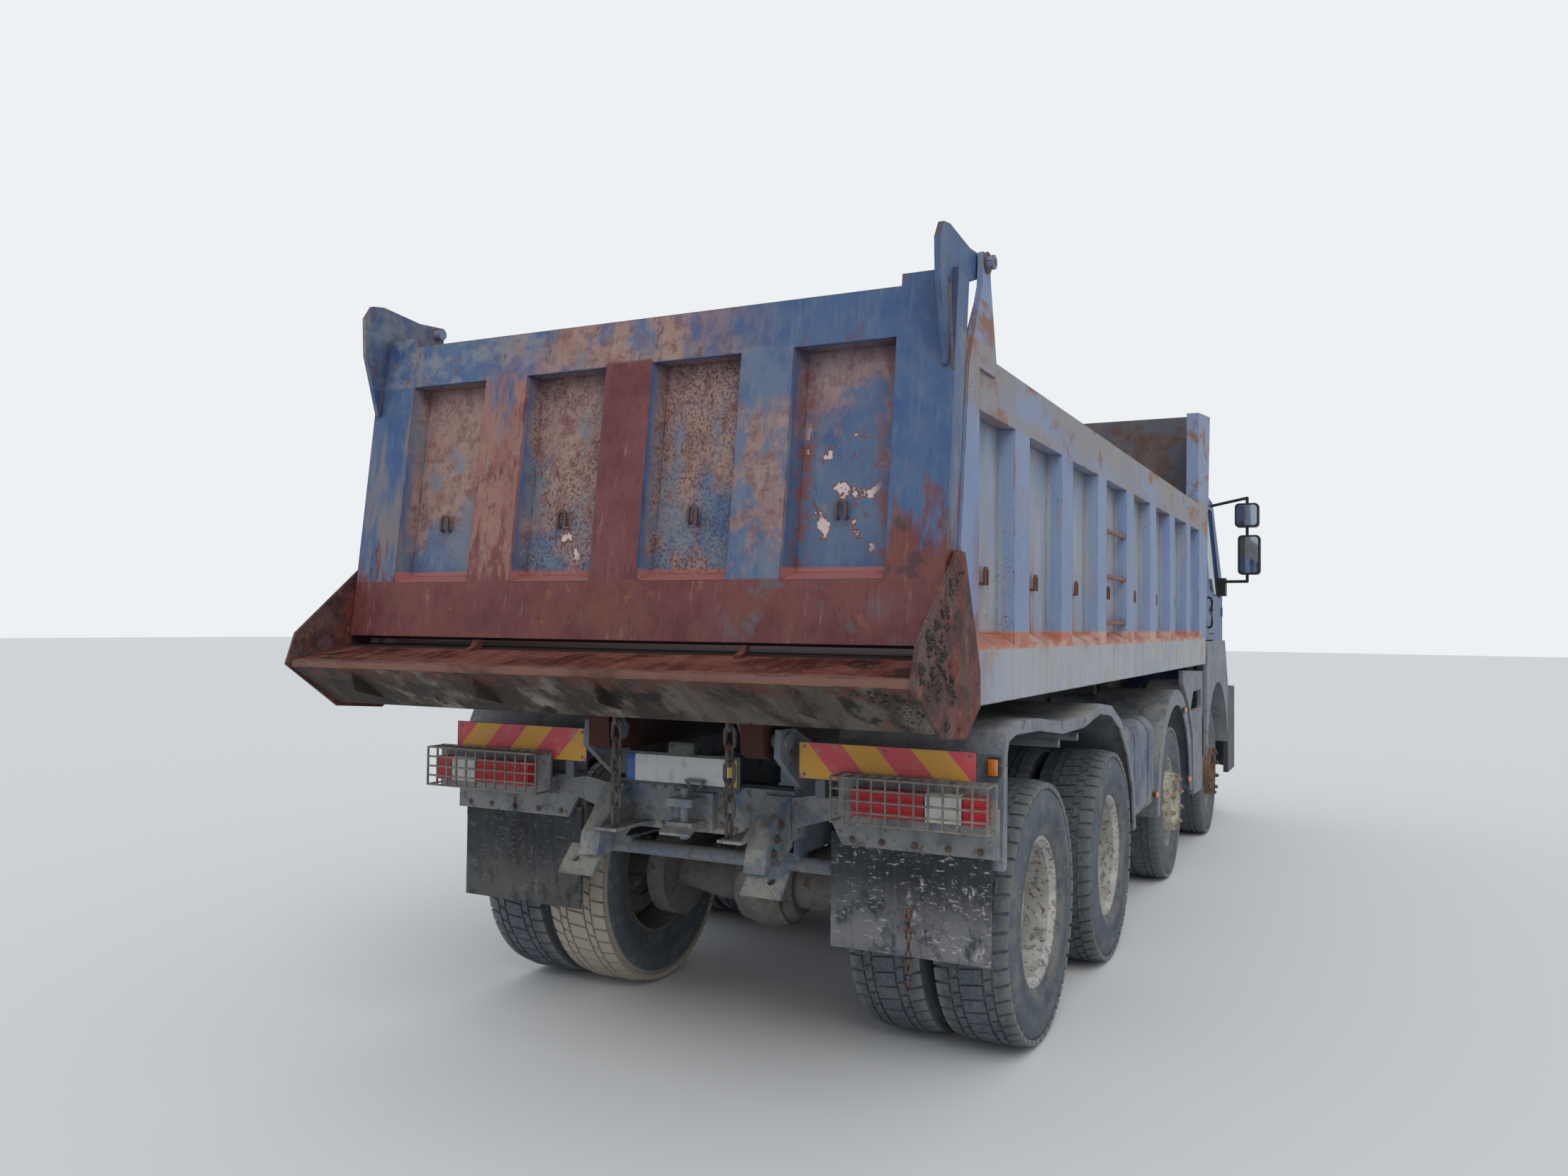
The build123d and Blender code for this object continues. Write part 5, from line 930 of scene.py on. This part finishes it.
back = (-1, 0, 0)
bolts("jaw_bolts", [(-3.394, side * 0.112, z) for _, side in sides for z in (0.885, 0.948, 1.012)],
      back, 0.010, dull_bolt)
bolts("beam_bolts", [(-3.384, side * y, z) for _, side in sides for y, z in (
    (0.170, 0.872), (0.170, 1.022), (0.222, 0.872), (0.222, 1.022), (0.306, 1.024))],
    back, 0.009, dull_bolt)
bolts("carrier_bolts", [(-3.400, side * y, 0.884) for _, side in sides for y in (
    0.68, 0.80, 0.93, 1.06, 1.18)], back, 0.009, rusty_bolt)
bolts("board_screws", [(-3.480, side * y, z) for _, side in sides for y in (0.515, 0.84, 1.165) for z in (
    1.128, 1.232)], back, 0.0045, dull_bolt, tall=0.4)
for name, side in (("arm_bolts", 1), ("arm_bolts_right", -1)):
    bolts(name, [(-3.49 - 0.03 * index, side * 0.4222, 0.93 - 0.05 * index) for index in range(3)],
          (0, side, 0), 0.012, rusty_bolt)
for label, side in sides:
    bolts(f"gate_pin_nut_{label}", [(-3.63, side * 1.263, 2.94)], (0, side, 0), 0.025, rusty_bolt,
          "bed")
    bolts(f"guard_bolts_{label}", [(-3.345, side * y, 1.19) for y in (0.64, 0.86, 1.04, 1.20)],
          back, 0.009, rusty_bolt)
chain_rust = chassis_finish("orange_chain_rust", "#7a4630", "#6a4a3c", "#8e5433", 0.8, "#86624d")
flap_chain = hanging_chain("flap_chain_right", (-3.414, -0.914, 0.66), 8, 0.046, 0.026, 0.0036, chain_rust)
ring_path = [(-3.409, 0.924 + 0.016 * math.sin(0.4 * i), 0.640 + 0.016 * math.cos(0.4 * i))
             for i in range(16)]
thin_chain = merged("flap_chain_left", [
    hanging_chain("links", (-3.409, 0.924, 0.93), 11, 0.030, 0.018, 0.0023, rusty_bolt),
    tube("ring", ring_path, 0.003, rusty_bolt, 6, closed=True)])
hung_bar = tube("column_bar", [
    (-4.012, -1.2585, 2.790), (-4.014, -1.2605, 2.770), (-3.985, -1.2605, 2.55),
    (-3.981, -1.2605, 2.515), (-3.972, -1.2605, 2.505)], 0.005, rusty_bolt)
for made, body in ((flap_chain, "chassis"), (thin_chain, "chassis"), (hung_bar, "tailgate")):
    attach(made, body)

# Side and marker lamps
# Small amber lamps in black rubber frames along both sides, and one at each end of the marker boards.
amber_lens, shader, where = finish("amber_lamp_lens", roughness=0.2)
ribbing = add(where, "ShaderNodeTexWave", {"Vector": where, "Scale": 45.0},
              bands_direction="X").outputs["Fac"]
painted(shader, "#d0701c", [
    (ribbing, "#e89a3c", 0.4), (blotches(where, 0.02, 0.5, 0.7, seed=3, ragged=0.6), "#93572c", 0.5)])
lamp_rubber = chassis_finish("black_lamp_frame", "#222427", "#44464a", "#3a3835", 0.8)


def block(x0, x1, y0, y1, z0, z1, material, edge, segments=2):
    """A box with rounded edges."""
    mesh = bmesh.new()
    skin(mesh, [[(x0, y0, z), (x1, y0, z), (x1, y1, z), (x0, y1, z)] for z in (z0, z1)])
    return softened(from_mesh("block", mesh, material), edge, segments)


step_lamps = [(1.185, 1.222, 1.12), (1.375, 1.222, 0.62)]
lamp_places = {1: step_lamps, -1: [(-0.950, 1.209, 1.085), (0.085, 1.209, 0.665)] + step_lamps}
for label, side in sides:
    parts = []
    for x, y, z in lamp_places[side]:
        parts.append(block(x - 0.045, x + 0.045, side * y, side * (y + 0.008), z - 0.022, z + 0.022,
                           lamp_rubber, 0.003))
        parts.append(block(x - 0.036, x + 0.036, side * (y + 0.007), side * (y + 0.020), z - 0.015, z + 0.015,
                           amber_lens, 0.005, 3))
    parts.append(block(-3.372, -3.345, side * 1.196, side * 1.240, 1.150, 1.222, lamp_rubber, 0.003))
    parts.append(block(-3.392, -3.371, side * 1.200, side * 1.236, 1.156, 1.216, amber_lens, 0.006, 3))
    lamps = merged(f"amber_lamps_{label}", parts)
    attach(lamps, "chassis")

# Lumps of old asphalt
# Hard tar and stone thrown over the apron's right wing and along its low edge, scattered on the faces there.
tar_finish, shader, where = finish("tar_and_stone", roughness=0.9)
painted(shader, "#2b2827", [
    (blotches(where, 0.01, 0.45, 0.6, seed=2), "#514843"),
    (blotches(where, 0.03, 0.55, 0.65, seed=5), "#65483a")])


def lump_tree(seed, spacing, smallest, largest, bare):
    """Stones of mostly small sizes, in clumps: the higher bare is, the more of the face stays clean."""
    group, given = geometry_tree("lumps", {
        "Spacing": spacing, "Smallest": smallest, "Largest": largest, "Bare": bare})
    spread = add(group, "GeometryNodeDistributePointsOnFaces", {
        "Mesh": given["Geometry"], "Distance Min": given["Spacing"], "Density Max": 9000.0, "Seed": seed},
        distribute_method="POISSON")
    ball = add(group, "GeometryNodeMeshIcoSphere", {"Radius": 1.0, "Subdivisions": 2})
    rough_shape = add(group, "ShaderNodeTexNoise", {"Scale": 1.4, "Detail": 2.0})
    outwards = add(group, "GeometryNodeInputNormal")
    push = add(group, "ShaderNodeVectorMath", {
        0: outwards.outputs[0], "Scale": rough_shape.outputs["Fac"]}, operation="SCALE")
    lump = add(group, "GeometryNodeSetPosition", {
        "Geometry": ball.outputs["Mesh"], "Offset": push.outputs[0]})
    chance = add(group, "FunctionNodeRandomValue", {"Seed": seed + 1}, data_type="FLOAT")
    mostly_small = add(group, "ShaderNodeMath", {0: chance.outputs[1], 1: 2.6}, operation="POWER")
    scale = add(group, "ShaderNodeMapRange", {
        "Value": mostly_small.outputs[0], "To Min": given["Smallest"], "To Max": given["Largest"]})
    clumps = add(group, "ShaderNodeTexNoise", {"Scale": 13.0, "Detail": 3.0})
    in_clump = add(group, "ShaderNodeMath", {0: clumps.outputs["Fac"], 1: given["Bare"]},
                   operation="GREATER_THAN")
    turn = add(group, "FunctionNodeRandomValue",
               {0: (0.0, 0.0, 0.0), 1: (6.28, 6.28, 6.28), "Seed": seed + 2}, data_type="FLOAT_VECTOR")
    placed = add(group, "GeometryNodeInstanceOnPoints", {
        "Points": spread.outputs["Points"], "Instance": lump.outputs[0], "Rotation": turn.outputs[0],
        "Scale": scale.outputs[0], "Selection": in_clump.outputs[0]})
    return real_copies(group, placed, tar_finish)


def patch(outline):
    """A flat face for the lumps to lie on."""
    mesh = bmesh.new()
    mesh.faces.new([mesh.verts.new(point) for point in outline])
    return piece("patch", mesh)


wing_y = -1.273
wing_low = patch([(x, wing_y, z) for x, z in (
    (-4.085, 1.375), (-3.93, 1.36), (-4.02, 1.60), (-4.06, 1.81), (-4.19, 1.71), (-4.285, 1.635),
    (-4.322, 1.535))])
wing_high = patch([(x, wing_y, z) for x, z in ((-4.06, 1.81), (-4.02, 1.60), (-3.90, 1.86), (-3.935, 1.905))])
slope_end = patch([
    (-4.318, -1.25, 1.503), (-4.318, -1.05, 1.503), (-4.10, -1.16, 1.371), (-4.10, -1.25, 1.371)])
lumps = merged("asphalt_lumps", [
    repeated(wing_low, lump_tree(3, 0.0105, 0.0018, 0.0095, 0.47)),
    repeated(wing_high, lump_tree(8, 0.014, 0.0016, 0.0070, 0.50)),
    repeated(slope_end, lump_tree(13, 0.014, 0.0020, 0.0100, 0.48))])
lumps.data.shade_smooth()
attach(lumps, "bed")

gusset_outline = [(-4.312, 1.502), (-4.134, 1.392), (-4.282, 1.425)]
gusset_half = 0.005
mesh = bmesh.new()
for middle in (0.977, 0.392, -0.130, -0.872):
    skin(mesh, [[(x, y, z) for x, z in gusset_outline] for y in (middle - gusset_half, middle + gusset_half)])
gussets = from_mesh("apron_gussets", mesh, apron_finish)
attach(gussets, "bed")

# Number plate
# A blank plate of white film on a grey plastic holder, with a blue band at one end and a yellow one opposite.
plate_finish, shader, where = finish("blank_plate_film", roughness=0.35)
y = add(where, "ShaderNodeSeparateXYZ", {0: where}).outputs[1]
painted(shader, "#d3d5d6", [
    (between(y, 0.297, 0.40, 0.0005), "#2c5fa8"), (between(y, -0.30, -0.145, 0.0005), "#c9a23c"),
    (blotches(where, 0.05, 0.5, 0.7, seed=2, ragged=0.6), "#a5a49e", 0.6)])
plate = block(-3.4083, -3.4041, -0.184, 0.336, 1.042, 1.152, plate_finish, 0.0015)
plate.name = "number_plate"
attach(plate, "chassis")
wear(["plate_holder"], chassis_finish("plate_holder_plastic", "#4d5a55", "#5f665f", "#4a4640"))

# Cab
# Pressed steel cab in blue enamel, dusty and dulled by the weather.
cab_finish, shader, where = finish("dulled_blue_enamel", roughness=0.4)
dust = blotches(where, 0.5, 0.35, 0.7, seed=4)
z = add(where, "ShaderNodeSeparateXYZ", {0: where}).outputs[2]
low_dirt = times(between(z, 1.0, 1.9, 0.3), blotches(where, 0.2, 0.3, 0.7, seed=2))
painted(shader, "#2c4d80", [(dust, "#3f5f8c"), (low_dirt, "#54657b", 0.8)])
wear(["cab_shell", "door_left", "door_right"], cab_finish)
trim = chassis_finish("black_door_trim", "#1d1f22", "#2c2e31", "#2a2826", 0.5, "#4c4d4e")
for label, side in sides:
    handle = merged(f"door_handle_{label}", [
        block(3.200, 3.330, side * 1.149, side * 1.166, 1.846, 1.872, trim, 0.006, 3),
        block(3.185, 3.345, side * 1.148, side * 1.153, 1.815, 1.895, trim, 0.002)])
    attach(handle, f"door_{label}")
    rail = tube(f"grab_rail_{label}", [(3.085, side * y, z) for y, z in (
        (1.140, 1.70), (1.176, 1.715), (1.180, 1.74), (1.180, 1.93), (1.172, 1.955), (1.140, 1.97))],
        0.011, trim, 12)
    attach(rail, "chassis")


def on_screen(share, y_at, lift=0.018):
    """A point just before the windscreen: share runs from its foot to its top."""
    return (4.23 - 0.31 * share + 0.941 * lift, y_at, 1.93 + 0.86 * share + 0.339 * lift)


for label, root in (("left", 0.36), ("right", -0.44)):
    wiper = merged(f"wiper_{label}", [
        tube("arm", [on_screen(0.02, root, 0.012), on_screen(0.05, root + 0.02, 0.024),
                     on_screen(0.40, root + 0.30, 0.020)], 0.007, trim),
        tube("blade", [on_screen(0.13, root + 0.22, 0.014), on_screen(0.67, root + 0.38, 0.014)],
             0.008, trim),
        tube("pivot", [on_screen(0.02, root, 0.002), on_screen(0.02, root, 0.028)], 0.018, trim, 16)])
    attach(wiper, "chassis")

# Cab glass
# Tinted safety glass, smooth and slightly grey.
glass_finish, shader, where = finish("tinted_safety_glass", roughness=0.05)
shader.inputs["Base Color"].default_value = paint("#aebcc2")
shader.inputs["Transmission Weight"].default_value = 0.9
shader.inputs["IOR"].default_value = 1.45
wear(["cab_glass", "door_glass_left", "door_glass_right"], glass_finish)

# Mirrors, bumper, grille and cab interior
# Black and dark grey moulded plastic with a fine grain, woven seat cloth, and clear round lamps.


def plastic_finish(name, base, dust_colour, rough=0.5):
    """Moulded plastic with a fine grain, dusty in broad patches."""
    made, shader, where = finish(name, roughness=rough)
    painted(shader, base, [(blotches(where, 0.2, 0.4, 0.7, seed=5), dust_colour)])
    relief(shader, blotches(where, 0.002, 0.3, 0.7, seed=1), 0.0002)
    return made


wear(["mirror_left", "mirror_right"], plastic_finish("black_moulded_plastic", "#17181b", "#26282c"))
mirror_face, shader, where = finish("silvered_mirror_glass", metallic=1.0, roughness=0.04)
painted(shader, "#aeb9c2", [(blotches(where, 0.04, 0.5, 0.7, seed=2, ragged=0.6), "#8b9196", 0.5)])


def rounded_plate(x0, x1, y0, y1, z0, z1, corner, material):
    """A thin upright plate across the truck, with rounded corners."""
    outline = []
    for y, z, start in ((y1 - corner, z1 - corner, 0), (y0 + corner, z1 - corner, 90),
                        (y0 + corner, z0 + corner, 180), (y1 - corner, z0 + corner, 270)):
        for turn in [math.radians(angle) for angle in range(start, start + 91, 15)]:
            outline.append((y + corner * math.cos(turn), z + corner * math.sin(turn)))
    mesh = bmesh.new()
    skin(mesh, [[(x, y, z) for y, z in outline] for x in (x0, x1)])
    return from_mesh("plate", mesh, material)


for label, side in sides:
    plates = []
    for y_in, y_out, z0, z1 in ((1.316, 1.484, 2.618, 2.799), (1.341, 1.494, 2.196, 2.514)):
        y0, y1 = sorted((side * y_in, side * y_out))
        plates.append(rounded_plate(3.681, 3.6855, y0, y1, z0, z1, 0.028, mirror_face))
    glass = merged(f"mirror_glass_{label}", plates)
    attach(glass, f"door_{label}")
wear(["front_bumper", "front_grille"], plastic_finish("dark_grey_bumper_plastic", "#3a3e44", "#565a5e", 0.6))
wear(["dashboard", "steering_wheel"], plastic_finish("dark_cab_plastic", "#26272a", "#35363a", 0.6))
seat_cloth, shader, where = finish("woven_seat_cloth", roughness=0.95)
weave = add(where, "ShaderNodeTexWave", {"Vector": where, "Scale": 160.0}, bands_direction="Y").outputs["Fac"]
weft = add(where, "ShaderNodeTexWave", {"Vector": where, "Scale": 160.0}, bands_direction="X").outputs["Fac"]
painted(shader, "#33363d", [
    (weave, "#454a54", 0.4), (weft, "#2a2c33", 0.3),
    (blotches(where, 0.2, 0.4, 0.7, seed=5), "#4a4b4e", 0.5)])
relief(shader, either(weave, weft), 0.0006)
wear(["seats"], seat_cloth)


def cushion(name, centre, half, lean):
    """A stuffed pad: crowned on top, its sides pulled in between the corners, with two sewn channels."""
    cells = 28
    mesh = bmesh.new()
    grid = {}
    for level in (0, 1):
        for i in range(cells + 1):
            for j in range(cells + 1):
                u = 2 * i / cells - 1
                v = 2 * j / cells - 1
                pull_u = 1 - 0.03 * (1 - v * v)
                pull_v = 1 - 0.03 * (1 - u * u)
                swell = ((1 - abs(u) ** 5) * (1 - abs(v) ** 5)) ** 0.4
                seam = 1 - 0.22 * sum(math.exp(-((u - at) / 0.05) ** 2) for at in (-0.3, 0.3))
                rise = half[2] * (0.12 + 0.88 * swell * seam if level else -0.12)
                grid[level, i, j] = mesh.verts.new((half[0] * u * pull_u, half[1] * v * pull_v, rise))
        for i in range(cells):
            for j in range(cells):
                mesh.faces.new([grid[level, i + p, j + q] for p, q in ((0, 0), (1, 0), (1, 1), (0, 1))])
    rim = ([(i, 0) for i in range(cells)] + [(cells, j) for j in range(cells)]
           + [(i, cells) for i in range(cells, 0, -1)] + [(0, j) for j in range(cells, 0, -1)])
    for index, (i, j) in enumerate(rim):
        ni, nj = rim[(index + 1) % len(rim)]
        mesh.faces.new((grid[0, i, j], grid[0, ni, nj], grid[1, ni, nj], grid[1, i, j]))
    made = from_mesh(name, mesh, seat_cloth)
    made.data.transform(Matrix.Translation(centre) @ Matrix.Rotation(math.radians(lean), 4, "Y"))
    made.data.shade_smooth()
    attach(made, "chassis")


for label, side in sides:
    cushion(f"seat_cushion_{label}", (2.985, side * 0.62, 2.042), (0.235, 0.225, 0.06), 0)
    cushion(f"back_cushion_{label}", (2.812, side * 0.62, 2.375), (0.29, 0.215, 0.055), 83.8)
lamp_finish, shader, where = finish("clear_headlamp_lens", roughness=0.08)
_, y, z = add(where, "ShaderNodeSeparateXYZ", {0: where}).outputs
across = add(y, "ShaderNodeMath", {0: y}, operation="ABSOLUTE").outputs[0]
bowls, rims, bulbs = [], [], []
for middle_y, reach in ((0.705, 0.048), (0.800, 0.042)):
    away = distance(across, middle_y, z, 0.86)
    bowls.append((between(away, -1, reach, 0.002), "#d8dcde"))
    rims.append((between(away, reach - 0.004, reach + 0.003, 0.001), "#3a3e42"))
    bulbs.append((between(away, -1, 0.014, 0.002), "#f0efe6"))
painted(shader, "#8f969b", [(between(z, 0.925, 1.0, 0.002), "#c9822f")] + bowls + rims + bulbs)
wear(["headlamps"], lamp_finish)
